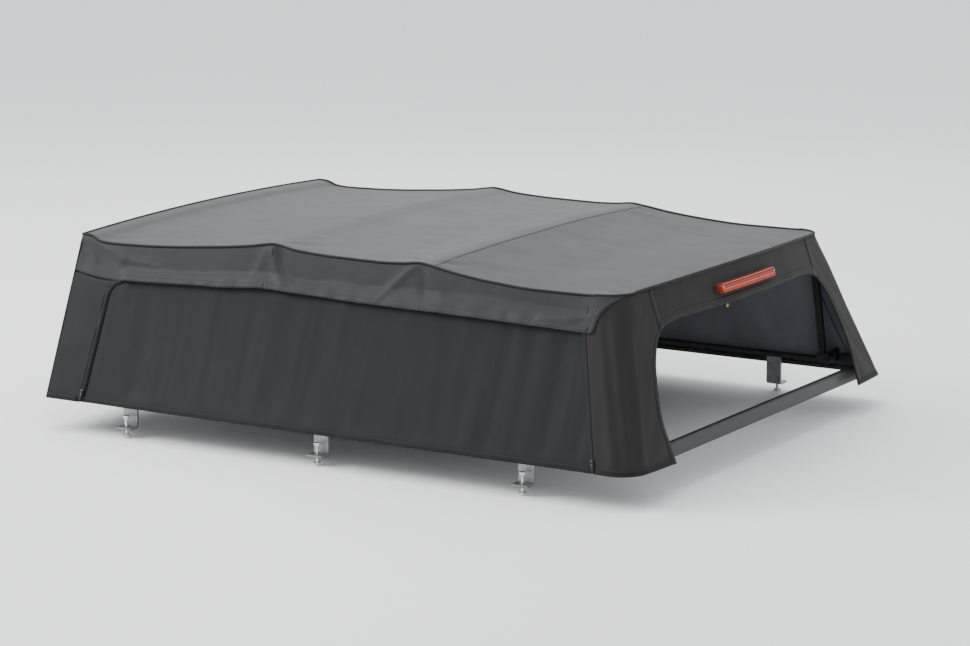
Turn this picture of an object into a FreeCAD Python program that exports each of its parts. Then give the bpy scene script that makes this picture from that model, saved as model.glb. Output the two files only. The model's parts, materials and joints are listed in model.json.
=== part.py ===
import FreeCAD, Part

import math
import os

import Sketcher

# Soft canopy for an open cargo bed: a cloth cover on four tube bows that fold forward.
# Frame: +Y forward, +X right, +Z up; z = 0 at the heads of the clamp bolts it stands on.
# Heights in the table are above the seat, the plane where the rail seals lie on the bed.

SIZES = [
    # name, millimetres or degrees, what it is
    ("seat_height", 84, "seat plane above the heads of the clamp bolts"),
    ("base_width", 1490, "over the cloth at the seat"),
    ("base_front", 914.5, "front of the cloth at the seat"),
    ("base_rear", 898.6, "rear corners of the cloth at the seat, measured backwards"),
    ("roof_width", 1142, "between the pipings along the roof edges"),
    ("edge_height", 440, "height at which the roof width is measured"),
    ("crown", 14, "rise of the roof across its width"),
    ("cloth", 3, "thickness of the coated cloth with its lining"),
    ("layer_gap", 0.5, "between two layers of cloth"),
    ("seat_gap", 0.3, "between a piece and what carries it"),
    ("hem_rise", 1.5, "lower edge of the cloth above the seat"),
    ("rear_bulge_top", 45, "rearward bow of the header at the roof"),
    ("rear_bulge_base", 30, "rearward bow of the rear at the seat"),
    ("corner_radius", 75, "rounded rear corners in plan"),
    ("flap_front", 334, "lower edge of the side flap at the front bow"),
    ("flap_mid", 331, "lower edge of the side flap at the middle bows"),
    ("flap_rear", 322, "lower edge of the side flap at the rear"),
    ("panel_lap", 34, "side panel's edge above the flap's lower edge"),
    ("strip_base", 111.5, "front strip along the seat"),
    ("strip_top", 128.5, "rear edge of the front strip under the flap, behind the front end of the seat"),
    ("strip_round", 50, "round between the front strip and the flap"),
    ("seam_base", 105, "closing seam of the rear corner at the seat, ahead of the rear corners"),
    ("seam_top", 203, "closing seam of the rear corner under the flap, ahead of the rear corners"),
    ("opening_width", 1050, "width of the rear opening"),
    ("opening_height", 333, "top of the rear opening"),
    ("opening_round", 70, "upper corners of the rear opening"),
    ("rail_width", 34, "belt rail across its top"),
    ("rail_height", 24, "belt rail, top above its underside"),
    ("rail_slot_depth", 7, "groove for the cloth's edge strip"),
    ("rail_slot_width", 5, "groove for the cloth's edge strip"),
    ("rail_slot_rise", 9, "groove above the rail's underside"),
    ("clamp_slot_depth", 8, "groove for the clamps' tongues"),
    ("clamp_slot_width", 8, "groove for the clamps' tongues"),
    ("clamp_slot_rise", 7, "groove above the rail's underside"),
    ("seal_thickness", 4, "foam seal under the rails"),
    ("seal_inset", 4, "foam seal inside each edge of its rail"),
    ("clamp_width", 45, "clamp along the rail"),
    ("clamp_end", 250, "middle of the end clamps from the ends of the rail"),
    ("clamp_plate", 7, "thickness of the clamp's plate and jaw"),
    ("clamp_drop", 62, "underside of the clamp's jaw below the seat"),
    ("clamp_reach", 36, "jaw outward from its plate"),
    ("clamp_round", 9, "outer round between the clamp's plate and jaw"),
    ("clamp_ease", 6, "bevels at the jaw's tip"),
    ("bolt_radius", 4, "clamp bolt"),
    ("bolt_head_width", 19, "across the flats of the clamp bolt's head"),
    ("bolt_head_height", 8, "clamp bolt's head"),
    ("bolt_pad_width", 18, "swivel pad on the clamp bolt, across its flats"),
    ("bolt_pad_height", 6, "swivel pad on the clamp bolt"),
    ("throat", 24, "bed flange that the clamp grips"),
    ("bolt_clearance", 0.3, "round the bolt in the jaw"),
    ("bow_size", 19, "square tube of the bows"),
    ("bow_ease", 3.5, "eased edges of the square tube"),
    ("bow_reach", 11, "bow tube's middle to the cloth's gap, whichever way the bow leans"),
    ("bow_bend", 60, "bend at the bow's upper corners"),
    ("bow_inset", 23, "bow leg's middle inside the outer face of the cloth"),
    ("bow_gap", 0.5, "bow tube under the roof cloth"),
    ("pivot_y", 207, "axis of the two folding bows"),
    ("pivot_height", 65, "axis of the two folding bows"),
    ("pivot_spacing", 42, "between the legs of bow 3 and bow 2 on one side"),
    ("eye_radius", 13, "eye at the foot of a folding bow"),
    ("eye_length", 28, "eye at the foot of a folding bow, along its pin"),
    ("eye_inset", 10.5, "eye inside the outer face of the cloth"),
    ("bracket_plate", 8, "upright plate of the pivot bracket"),
    ("bracket_base", 6, "base plate of the brackets on the rails"),
    ("bracket_length", 90, "pivot bracket along the rail"),
    ("bracket_inset", 12, "brackets inside the outer face of the cloth"),
    ("pin_radius", 4, "hinge pins"),
    ("pin_clearance", 0.1, "running clearance round the hinge pins"),
    ("pin_head_width", 14, "head of a hinge pin, across its flats"),
    ("pin_head", 2.5, "thickness of a hinge pin's head"),
    ("side_play", 0.5, "between an eye and the plate or head beside it"),
    ("socket_size", 32, "front bow's socket, square in plan"),
    ("socket_height", 26, "front bow's socket"),
    ("foot_taper", 4, "draw-in of the sockets' and feet's sides, in degrees"),
    ("rear_foot_inset", 95, "middle of the rear bow's feet inside the cloth at the seat"),
    ("foot_size", 32, "rear bow's foot, square in plan"),
    ("foot_height", 22, "rear bow's foot"),
    ("latch_wall", 5, "upright wall of the latch bracket"),
    ("latch_wall_height", 30, "upright wall of the latch bracket"),
    ("knob_width", 22, "latch knob, across its flats"),
    ("knob_length", 16, "latch knob"),
    ("arm_height", 22, "side arm"),
    ("arm_width", 9, "side arm"),
    ("arm_gap", 5, "side arm from the leg of bow 3"),
    ("arm_front_drop", 66, "hinge of the side arms below the roof's edge over bow 3"),
    ("arm_rear_drop", 69, "hinge of the rear bow below the roof's edge at the rear"),
    ("sill_height", 38, "sill bar"),
    ("sill_depth", 20, "sill bar"),
    ("sill_end", 80, "ends of the sill bar inside the cloth at the seat"),
    ("sill_rise", 4, "underside of the sill bar above the seat"),
    ("sill_gap", 2, "sill bar and its bracket inside the rear cloth"),
    ("sill_lug", 50, "sill bar's end under its bracket, and the bracket on its rail"),
    ("lamp_width", 310, "lamp on the header"),
    ("lamp_height", 24, "lamp on the header"),
    ("lamp_base_depth", 10, "lamp's base, out of the header"),
    ("lens_depth", 9, "lens, out of the lamp's base"),
    ("lens_margin", 3, "lamp's base round the lens"),
    ("window_width", 900, "front window"),
    ("window_low", 90, "front window's lower edge"),
    ("window_high", 340, "front window's upper edge"),
    ("window_round", 50, "front window's corners"),
    ("window_lap", 12, "clear sheet behind the edge of its hole"),
    ("window_sheet", 1.5, "thickness of the clear sheet"),
    ("sill_ease", 4, "bevel along the sill bar's upper edges"),
    ("sill_plate", 4, "plate of the sill bar's brackets"),
    ("sill_bracket_gap", 1, "sill bar's bracket inside the side panel's inner face"),
    ("sill_bracket_width", 18, "sill bar's bracket across the rail, at least"),
    ("sill_bracket_ease", 8, "bevel of the sill bar's bracket inside the rear corner"),
]

# The roof's edge from front to rear: the cloth peaks over each bow and sags between them.
ROOF_LINE = [
    # name, counted from, forward of it, height of the edge, what it is
    ("front_top", "front", -7.5, 428, "front end of the roof"),
    ("front_bow", "front", -41.5, 428, "rear side of the front bow"),
    ("front_sag", "front", -73.5, 411, "foot of the drop behind the front bow"),
    ("front_rise", "front", -307.5, 419, "between the front bow and bow 2"),
    ("bow_2", "pivot", 72, 453, "top of bow 2"),
    ("middle_drop", "pivot", 0, 444, "behind bow 2"),
    ("middle_sag", "pivot", -260, 437, "between bow 2 and bow 3"),
    ("bow_3", "pivot", -385, 446, "top of bow 3"),
    ("bow_3_seam", "pivot", -420, 441, "seam behind bow 3, clear of its tube"),
    ("rear_drop", "pivot", -500, 429, "behind the seam"),
    ("rear_sag", "rear", 367, 411, "lowest place before the rear bow"),
    ("rear_top", "rear", 135, 414, "rear end of the roof, at its corners"),
]

SIDES = [("left", -1), ("right", 1)]


class Size:
    """A number, and the same thing written for the document's expressions."""

    def __init__(self, value, text):
        self.value = float(value)
        self.text = text

    def __add__(self, other):
        other = as_size(other)
        return Size(self.value + other.value, f"({self.text} + {other.text})")

    def __sub__(self, other):
        other = as_size(other)
        return Size(self.value - other.value, f"({self.text} - {other.text})")

    def __mul__(self, other):
        other = as_size(other)
        return Size(self.value * other.value, f"({self.text} * {other.text})")

    def __truediv__(self, other):
        other = as_size(other)
        return Size(self.value / other.value, f"({self.text} / {other.text})")

    def __radd__(self, other):
        return as_size(other) + self

    def __rsub__(self, other):
        return as_size(other) - self

    def __rmul__(self, other):
        return as_size(other) * self

    def __neg__(self):
        return Size(-self.value, f"(0 - {self.text})")


def as_size(item):
    return item if isinstance(item, Size) else Size(item, f"({float(item)!r})")


def smaller(first, second):
    return Size(min(first.value, second.value), f"min({first.text}; {second.text})")


def root(size):
    return Size(math.sqrt(size.value), f"sqrt({size.text})")


def slope_angle(rise, run):
    """Angle in degrees of a line with this rise and run."""
    degrees = math.degrees(math.atan2(rise.value, run.value))
    return Size(degrees, f"(atan2({rise.text}; {run.text}) / 1 deg)")


doc = FreeCAD.newDocument("canopy")
sheet = doc.addObject("Spreadsheet::Sheet", "Sizes")


def fill_sheet():
    """Write the table to the sheet and return its cells by name."""
    cells = {}
    line = []
    for name, start, distance, edge, note in ROOF_LINE:
        line.append((f"{name}_place", distance, f"{note}, forward of the {start}"))
        line.append((f"{name}_edge", edge, f"{note}, height of the edge"))
    for row, (name, value, note) in enumerate(SIZES + line, start=1):
        sheet.set(f"A{row}", name)
        sheet.set(f"B{row}", str(value))
        sheet.set(f"C{row}", note)
        sheet.setAlias(f"B{row}", name)
        cells[name] = Size(value, f"Sizes.{name}")
    starts = {"front": cells["base_front"], "pivot": cells["pivot_y"], "rear": -cells["base_rear"]}
    for name, start, *_ in ROOF_LINE:
        cells[f"{name}_y"] = starts[start] + cells[f"{name}_place"]
    doc.recompute()
    return cells


S = fill_sheet()


def bind(item, path, size):
    item.setExpression(path, as_size(size).text)


def place(item, x=0, y=0, z=0, tilt=None):
    """Put a piece in the part's frame: z counts from the seat, tilt turns it about X."""
    x, y, z = as_size(x), as_size(y), as_size(z) + S["seat_height"]
    turn = FreeCAD.Rotation(FreeCAD.Vector(1, 0, 0), tilt.value if tilt else 0)
    item.Placement = FreeCAD.Placement(FreeCAD.Vector(x.value, y.value, z.value), turn)
    bind(item, "Placement.Base.x", x)
    bind(item, "Placement.Base.y", y)
    bind(item, "Placement.Base.z", z)
    if tilt:
        bind(item, "Placement.Rotation.Angle", tilt)


def new_body(label):
    body = doc.addObject("PartDesign::Body", label)
    body.Label = label
    return body


def origin_plane(body, role):
    return [item for item in body.Origin.OriginFeatures if item.Role == role][0]


def new_sketch(body, role, name, offset=None):
    """A sketch on one of the body's own planes, moved along the plane's normal."""
    sketch = body.newObject("Sketcher::SketchObject", name)
    sketch.AttachmentSupport = [(origin_plane(body, role), "")]
    sketch.MapMode = "FlatFace"
    if offset is not None:
        offset = as_size(offset)
        sketch.AttachmentOffset = FreeCAD.Placement(FreeCAD.Vector(0, 0, offset.value), FreeCAD.Rotation())
        bind(sketch, "AttachmentOffset.Base.z", offset)
    return sketch


def fix(sketch, kind, first, first_point, second, second_point, size):
    """A distance of a sketch, tied to the sheet."""
    size = as_size(size)
    number = sketch.addConstraint(
        Sketcher.Constraint(kind, first, first_point, second, second_point, size.value))
    sketch.setExpression(f"Constraints[{number}]", size.text)


def fix_one(sketch, kind, edge, size):
    size = as_size(size)
    value = math.radians(size.value) if kind == "Angle" else size.value
    text = f"({size.text}) * 1 deg" if kind == "Angle" else size.text
    number = sketch.addConstraint(Sketcher.Constraint(kind, edge, value))
    sketch.setExpression(f"Constraints[{number}]", text)


HALF_ROUND = 1e-6  # depth of an arc's centre from its chord, under which it counts as a half round


def draw_outline(sketch, points):
    """A closed outline. A corner is (x, y), or (x, y, radius) where an arc leads to the next corner:
    a radius over zero bulges to the right of the way, one under zero to the left.
    A half round is held by its centre, because its two ends already give its radius."""
    count = len(points)
    start = len(sketch.Geometry)
    ends, halves = [], {}
    for index, point in enumerate(points):
        ax, ay = as_size(point[0]).value, as_size(point[1]).value
        following = points[(index + 1) % count]
        bx, by = as_size(following[0]).value, as_size(following[1]).value
        a, b = FreeCAD.Vector(ax, ay, 0), FreeCAD.Vector(bx, by, 0)
        if len(point) == 2:
            sketch.addGeometry(Part.LineSegment(a, b), False)
            ends.append((1, 2))
        else:
            radius = as_size(point[2]).value
            middle, way = (a + b) * 0.5, b - a
            left = FreeCAD.Vector(-way.y, way.x, 0).normalize()
            depth = math.sqrt(max(0, radius ** 2 - (way.Length / 2) ** 2))
            centre = middle + left * math.copysign(depth, radius)
            from_angle = math.atan2(a.y - centre.y, a.x - centre.x)
            to_angle = math.atan2(b.y - centre.y, b.x - centre.x)
            if radius < 0:
                from_angle, to_angle = to_angle, from_angle
            circle = Part.Circle(centre, FreeCAD.Vector(0, 0, 1), abs(radius))
            sketch.addGeometry(Part.ArcOfCircle(circle, from_angle, to_angle), False)
            ends.append((1, 2) if radius > 0 else (2, 1))
            if depth < HALF_ROUND:
                halves[index] = ("DistanceX", 0) if abs(way.y) > abs(way.x) else ("DistanceY", 1)
    for index, point in enumerate(points):
        following = (index + 1) % count
        sketch.addConstraint(Sketcher.Constraint(
            "Coincident", start + index, ends[index][1], start + following, ends[following][0]))
    for index, point in enumerate(points):
        fix(sketch, "DistanceX", -1, 1, start + index, ends[index][0], point[0])
        fix(sketch, "DistanceY", -1, 1, start + index, ends[index][0], point[1])
        if index in halves:
            kind, axis = halves[index]
            fix(sketch, kind, -1, 1, start + index, 3, point[axis])
        elif len(point) == 3:
            radius = as_size(point[2])
            fix_one(sketch, "Radius", start + index, radius if radius.value > 0 else -radius)
    return sketch


def pad(body, sketch, length, backwards=False):
    feature = body.newObject("PartDesign::Pad", f"{body.Name}_pad")
    feature.Profile = sketch
    feature.Reversed = backwards
    bind(feature, "Length", length)
    sketch.Visibility = False
    return feature


def prism(label, role, points, length, x=0, y=0, z=0, tilt=None, backwards=False):
    """A body padded from one outline."""
    body = new_body(label)
    sketch = draw_outline(new_sketch(body, role, f"{label}_outline"), points)
    pad(body, sketch, length, backwards)
    place(body, x, y, z, tilt)
    return body


def mirrored_points(points, side):
    """The outline for one side, kept anticlockwise."""
    if side > 0:
        return points
    flipped = [(-as_size(point[0]), point[1]) for point in points]
    return flipped[::-1]


half_base = S["base_width"] / 2
half_roof = S["roof_width"] / 2
lean = (half_base - half_roof) / S["edge_height"]
slant = root(1 + lean * lean)
cloth_across = S["cloth"] * slant


def side_x(height, depth=0):
    """The side of the cloth at a height; depth counts inward, square to the cloth."""
    return half_base - lean * height - as_size(depth) * slant


rail_outer = side_x(S["seal_thickness"], S["cloth"] * 2 + S["layer_gap"] + S["seat_gap"])
rail_inner = rail_outer - S["rail_width"]
rail_top = S["seal_thickness"] + S["rail_height"]
front_lean = (S["base_front"] - S["front_top_y"]) / S["front_top_edge"]
rail_front = S["base_front"] - S["cloth"] - S["seat_gap"] - front_lean * rail_top
rail_rear = S["base_rear"] - S["corner_radius"]
clamp_first = rail_front - S["clamp_end"]
clamp_last = S["clamp_end"] - rail_rear
CLAMP_PLACES = [("front", clamp_first), ("middle", (clamp_first + clamp_last) / 2), ("rear", clamp_last)]


def make_belt_rail(label, side):
    """Extruded rail with a groove outside for the cloth's edge and one inside for the clamps."""
    def outer(rise):
        return rail_outer - lean * rise
    slot_low, slot_high = S["rail_slot_rise"], S["rail_slot_rise"] + S["rail_slot_width"]
    clamp_low = S["clamp_slot_rise"]
    clamp_high = clamp_low + S["clamp_slot_width"]
    points = [
        (rail_inner, 0), (rail_outer, 0),
        (outer(slot_low), slot_low), (outer(slot_low) - S["rail_slot_depth"], slot_low),
        (outer(slot_low) - S["rail_slot_depth"], slot_high), (outer(slot_high), slot_high),
        (outer(S["rail_height"]), S["rail_height"]), (rail_inner, S["rail_height"]),
        (rail_inner, clamp_high), (rail_inner + S["clamp_slot_depth"], clamp_high),
        (rail_inner + S["clamp_slot_depth"], clamp_low), (rail_inner, clamp_low),
    ]
    return prism(label, "XZ_Plane", mirrored_points(points, side), rail_front + rail_rear,
                 y=rail_front, z=S["seal_thickness"])


def make_rail_seal(label, side):
    inner, outer = rail_inner + S["seal_inset"], rail_outer - S["seal_inset"]
    points = [(inner, 0), (outer, 0), (outer, S["seal_thickness"]), (inner, S["seal_thickness"])]
    return prism(label, "XZ_Plane", mirrored_points(points, side), rail_front + rail_rear, y=rail_front)


def make_bulkhead_rail():
    """Rail across the front end; its groove holds the front panel's lower edge."""
    back = rail_front - S["rail_width"]
    slot_low, slot_high = S["rail_slot_rise"], S["rail_slot_rise"] + S["rail_slot_width"]
    points = [
        (back, 0), (rail_front, 0), (rail_front, slot_low), (rail_front - S["rail_slot_depth"], slot_low),
        (rail_front - S["rail_slot_depth"], slot_high), (rail_front, slot_high),
        (rail_front, S["rail_height"]), (back, S["rail_height"]),
    ]
    reach = rail_inner - S["seat_gap"]
    return prism("bulkhead_rail", "YZ_Plane", points, reach * 2, x=-reach, z=S["seal_thickness"])


def make_bulkhead_seal():
    back = rail_front - S["rail_width"] + S["seal_inset"]
    front = rail_front - S["seal_inset"]
    points = [(back, 0), (front, 0), (front, S["seal_thickness"]), (back, S["seal_thickness"])]
    reach = rail_inner - S["seat_gap"]
    return prism("bulkhead_seal", "YZ_Plane", points, reach * 2, x=-reach)


bolt_x = rail_inner + S["clamp_reach"] / 2


def make_clamp(label, side, y):
    """C clamp: its tongue hooks into the rail, its jaw passes under the bed's flange."""
    gap, plate = S["seat_gap"], S["clamp_plate"]
    tongue_low = S["seal_thickness"] + S["clamp_slot_rise"] + gap
    tongue_high = tongue_low + S["clamp_slot_width"] - gap * 2
    tip = rail_inner + S["clamp_slot_depth"] - gap
    face = rail_inner - gap
    back, bottom, jaw_tip = face - plate, -S["clamp_drop"], face + S["clamp_reach"]
    bend, ease = S["clamp_round"], S["clamp_ease"]
    points = [
        (back, bottom + bend, bend), (back + bend, bottom), (jaw_tip - ease, bottom),
        (jaw_tip, bottom + ease), (jaw_tip, bottom + plate), (face, bottom + plate),
        (face, tongue_low), (tip, tongue_low), (tip, tongue_high), (face - plate, tongue_high),
    ]
    body = prism(label, "XZ_Plane", points if side > 0 else flip_outline(points), S["clamp_width"],
                 y=y + S["clamp_width"] / 2)
    hole = draw_circle(new_sketch(body, "XY_Plane", f"{label}_hole"), side * bolt_x,
                       -S["clamp_width"] / 2, S["bolt_radius"] + S["bolt_clearance"])
    pocket = body.newObject("PartDesign::Pocket", f"{label}_pocket")
    pocket.Profile = hole
    pocket.Type = "ThroughAll"
    pocket.Reversed = False
    hole.Visibility = False
    return body


def draw_circle(sketch, x, y, radius):
    x, y, radius = as_size(x), as_size(y), as_size(radius)
    number = len(sketch.Geometry)
    sketch.addGeometry(Part.Circle(FreeCAD.Vector(x.value, y.value, 0), FreeCAD.Vector(0, 0, 1),
                                   radius.value), False)
    fix(sketch, "DistanceX", -1, 1, number, 3, x)
    fix(sketch, "DistanceY", -1, 1, number, 3, y)
    fix_one(sketch, "Radius", number, radius)
    return sketch


def even_sides(count, width, x=0, y=0):
    """Outline of a regular shape with this width across its flats."""
    reach = as_size(width) / (2 * math.cos(math.pi / count))
    turns = [(index + 0.5) * 2 * math.pi / count for index in range(count)]
    return [(as_size(x) + reach * math.cos(turn), as_size(y) + reach * math.sin(turn)) for turn in turns]


def make_clamp_bolt(label, side, y):
    """Hexagon bolt with its head below the jaw and a swivel pad that presses up on the flange."""
    bottom = -S["seat_height"]
    pad_top = -S["throat"]
    pad_low = pad_top - S["bolt_pad_height"]
    body = new_body(label)
    shank = draw_circle(new_sketch(body, "XY_Plane", f"{label}_shank", bottom), 0, 0, S["bolt_radius"])
    pad(body, shank, pad_top - bottom)
    for name, count, width, low, height in [
            ("head", 6, S["bolt_head_width"], bottom, S["bolt_head_height"]),
            ("pad", 8, S["bolt_pad_width"], pad_low, S["bolt_pad_height"])]:
        sketch = new_sketch(body, "XY_Plane", f"{label}_{name}", low)
        pad(body, draw_outline(sketch, even_sides(count, width)), height)
    place(body, side * bolt_x, y)
    return body


def start_bow(label, foot_x, top_x, top_rise, sag, y, z, tilt):
    """Half of a bent tube hoop in its own plane: rise counts from (y, z) along the plane."""
    crown_radius = (top_x * top_x + sag * sag) / (2 * sag)
    crown_centre = top_rise + sag - crown_radius
    body = new_body(label)
    spine = new_sketch(body, "XY_Plane", f"{label}_spine")
    path = solve_half_hoop(foot_x.value, top_x.value, top_rise.value, crown_radius.value,
                           crown_centre.value, S["bow_bend"].value)
    for edge in path:
        spine.addGeometry(edge, False)
    spine.addConstraint(Sketcher.Constraint("Tangent", 0, 1, 1, 2))
    spine.addConstraint(Sketcher.Constraint("Tangent", 1, 1, 2, 2))
    spine.addConstraint(Sketcher.Constraint("PointOnObject", 0, 3, -2))
    spine.addConstraint(Sketcher.Constraint("PointOnObject", 0, 2, -2))
    fix_one(spine, "Radius", 0, crown_radius)
    fix(spine, "DistanceY", -1, 1, 0, 2, crown_centre + crown_radius)
    fix_one(spine, "Radius", 1, S["bow_bend"])
    fix(spine, "DistanceX", -1, 1, 2, 1, foot_x)
    fix(spine, "DistanceY", -1, 1, 2, 1, 0)
    fix_one(spine, "Angle", 2, slope_angle(top_rise, top_x - foot_x))
    ring = new_sketch(body, "YZ_Plane", f"{label}_ring")
    middle, half = crown_centre + crown_radius, S["bow_size"] / 2
    flat = half - S["bow_ease"]
    draw_outline(ring, [(middle + half, -flat), (middle + half, flat), (middle + flat, half),
                        (middle - flat, half), (middle - half, flat), (middle - half, -flat),
                        (middle - flat, -half), (middle + flat, -half)])
    pipe = body.newObject("PartDesign::AdditivePipe", f"{label}_pipe")
    pipe.Profile = ring
    pipe.Spine = spine
    spine.Visibility = False
    ring.Visibility = False
    place(body, 0, y, z, tilt)
    return body, [pipe]


def mirror_across(body, features):
    """The other half of a body."""
    mirror = body.newObject("PartDesign::Mirrored", f"{body.Name}_mirror")
    mirror.Originals = features
    mirror.MirrorPlane = (origin_plane(body, "YZ_Plane"), [""])
    body.Tip = mirror
    return body


def solve_half_hoop(foot_x, top_x, top_rise, crown_radius, crown_centre, bend):
    """Crown arc from the bend to the middle, bend arc and leg, for x over zero."""
    way = FreeCAD.Vector(top_x - foot_x, top_rise, 0).normalize()
    inward = FreeCAD.Vector(-way.y, way.x, 0)
    foot = FreeCAD.Vector(foot_x, 0, 0)
    hub = FreeCAD.Vector(0, crown_centre, 0)
    start = foot + inward * bend - hub
    along = start.dot(way)
    reach = -along + math.sqrt(along ** 2 - start.dot(start) + (crown_radius - bend) ** 2)
    centre = hub + start + way * reach
    leg_end = centre - inward * bend
    outward = (centre - hub).normalize()
    crown_end = math.atan2(outward.y, outward.x)
    axis = FreeCAD.Vector(0, 0, 1)
    leg_angle = math.atan2((leg_end - centre).y, (leg_end - centre).x)
    return [
        Part.ArcOfCircle(Part.Circle(hub, axis, crown_radius), crown_end, math.pi / 2),
        Part.ArcOfCircle(Part.Circle(centre, axis, bend), leg_angle, crown_end),
        Part.LineSegment(foot, leg_end),
    ]


eye_middle = side_x(S["pivot_height"] + S["eye_radius"], S["eye_inset"]) - S["eye_length"] / 2
bow_drop = S["cloth"] + S["bow_gap"] + S["bow_reach"]


def roof_radius(edge):
    """Radius of the roof's crown where its edge has this height."""
    half = side_x(edge)
    return (half * half + S["crown"] * S["crown"]) / (2 * S["crown"])


class Hoop:
    """The plane and the legs of a bow whose roof edge lies at a height and place."""

    def __init__(self, edge, top_y, foot_x, foot_y, foot_height):
        self.foot_x, self.foot_y, self.foot_height = foot_x, foot_y, foot_height
        rise, run = edge - bow_drop - foot_height, as_size(top_y) - foot_y
        self.tilt = slope_angle(rise, run)
        self.length = root(rise * rise + run * run)
        self.top_x = side_x(edge - bow_drop, S["bow_inset"])
        self.rise, self.run = rise, run

    def share(self, height):
        return (height - self.foot_height) / self.rise

    def leg_x(self, height):
        return self.foot_x + (self.top_x - self.foot_x) * self.share(height)

    def leg_y(self, height):
        return self.foot_y + self.run * self.share(height)

    def along(self, height):
        return self.length * self.share(height)

    def start(self, label):
        return start_bow(label, self.foot_x, self.top_x, self.length, S["crown"],
                         self.foot_y, self.foot_height, self.tilt)


front_bow_y = S["front_top_y"] - S["cloth"] - S["bow_gap"] - S["bow_reach"]
socket_top = rail_top + S["socket_height"]
front_foot = socket_top - S["bow_reach"]
front_hoop = Hoop(S["front_top_edge"], front_bow_y, side_x(front_foot, S["bow_inset"]), front_bow_y,
                  front_foot)
hoop_2 = Hoop(S["bow_2_edge"], S["bow_2_y"], eye_middle - S["pivot_spacing"], S["pivot_y"],
              S["pivot_height"])
hoop_3 = Hoop(S["bow_3_edge"], S["bow_3_y"], eye_middle, S["pivot_y"], S["pivot_height"])
rear_bow_y = S["rear_top_y"] + S["cloth"] + S["bow_gap"] + S["bow_reach"]
foot_low = rail_top + S["bracket_base"] + S["seat_gap"]
foot_top = foot_low + S["foot_height"]
rear_hoop = Hoop(S["rear_top_edge"], rear_bow_y, half_base - S["rear_foot_inset"], rear_bow_y,
                 foot_top - S["bow_reach"])

arm_front_height = S["bow_3_edge"] - S["arm_front_drop"]
arm_rear_height = S["rear_top_edge"] - S["arm_rear_drop"]
arm_leg = smaller(hoop_3.leg_x(arm_front_height), rear_hoop.leg_x(arm_rear_height))
arm_outer = arm_leg - S["bow_reach"] * slant - S["arm_gap"]
arm_front_y = hoop_3.leg_y(arm_front_height)


def add_head(body, name, x_from, x_to, y, z):
    """Hexagon head of a pin along X."""
    sketch = new_sketch(body, "YZ_Plane", f"{name}_outline", x_from)
    return pad(body, draw_outline(sketch, even_sides(6, S["pin_head_width"], y, z)), x_to - x_from)


def add_round(body, name, x_from, x_to, along, radius, cut=False):
    """A round boss or hole along X, at a distance along the bow's plane."""
    sketch = draw_circle(new_sketch(body, "YZ_Plane", f"{name}_circle", x_from), along, 0, radius)
    feature = body.newObject("PartDesign::Pocket" if cut else "PartDesign::Pad", name)
    feature.Profile = sketch
    feature.Reversed = cut
    bind(feature, "Length", x_to - x_from)
    sketch.Visibility = False
    return feature


arm_inner = arm_outer - S["arm_width"]
arm_pin_end = arm_inner - S["side_play"] - S["pin_head"]


def add_arm_pin(body, hoop, height):
    """A pin from the bow's leg inward through the side arm, with its head."""
    along = hoop.along(height)
    return [
        add_round(body, f"{body.Name}_pin", arm_pin_end, hoop.leg_x(height), along, S["pin_radius"]),
        add_head(body, f"{body.Name}_head", arm_pin_end, arm_pin_end + S["pin_head"], along, 0),
    ]


def make_folding_bow(label, hoop, carries_arms):
    """A bow with an eye at each foot, and pins for the side arms where it carries them."""
    body, features = hoop.start(label)
    low, high = hoop.foot_x - S["eye_length"] / 2, hoop.foot_x + S["eye_length"] / 2
    features.append(add_round(body, f"{label}_eye", low, high, 0, S["eye_radius"]))
    if carries_arms:
        features += add_arm_pin(body, hoop, arm_front_height)
    features.append(add_round(body, f"{label}_hole", low - S["bow_reach"], high + S["bow_reach"], 0,
                              S["pin_radius"] + S["pin_clearance"], cut=True))
    return mirror_across(body, features)


def cut_flush(label, body, tools):
    """The body with its tube ends cut off flush where they stand on other pieces."""
    for number, tool in enumerate(tools):
        last = number == len(tools) - 1
        cut = doc.addObject("Part::Cut", label if last else f"{label}_first_cut")
        cut.Label = label if last else f"{label}_first_cut"
        cut.Base, cut.Tool = body, tool
        body = cut
    return body


def make_front_bow(sockets):
    body, features = front_hoop.start("front_bow_tube")
    return cut_flush("front_bow", mirror_across(body, features), sockets)


def make_rear_bow(feet):
    """The rear bow, with pins near its upper corners that carry it on the side arms."""
    body, features = rear_hoop.start("rear_bow_tube")
    features += add_arm_pin(body, rear_hoop, arm_rear_height)
    return cut_flush("rear_bow", mirror_across(body, features), feet)


def make_side_arm(label, side):
    """Flat bar with round ends between the pins of bow 3 and the rear bow."""
    run, rise = arm_front_y - rear_bow_y, arm_front_height - arm_rear_height
    length, end = root(run * run + rise * rise), S["arm_height"] / 2
    body = new_body(label)
    sketch = new_sketch(body, "YZ_Plane", f"{label}_outline")
    draw_outline(sketch, [(0, -end), (length, -end, end), (length, end), (0, end, end)])
    hole = S["pin_radius"] + S["pin_clearance"]
    draw_circle(sketch, 0, 0, hole)
    draw_circle(sketch, length, 0, hole)
    pad(body, sketch, S["arm_width"])
    place(body, arm_inner if side > 0 else -arm_outer, rear_bow_y, arm_rear_height,
          slope_angle(rise, run))
    return body


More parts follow.
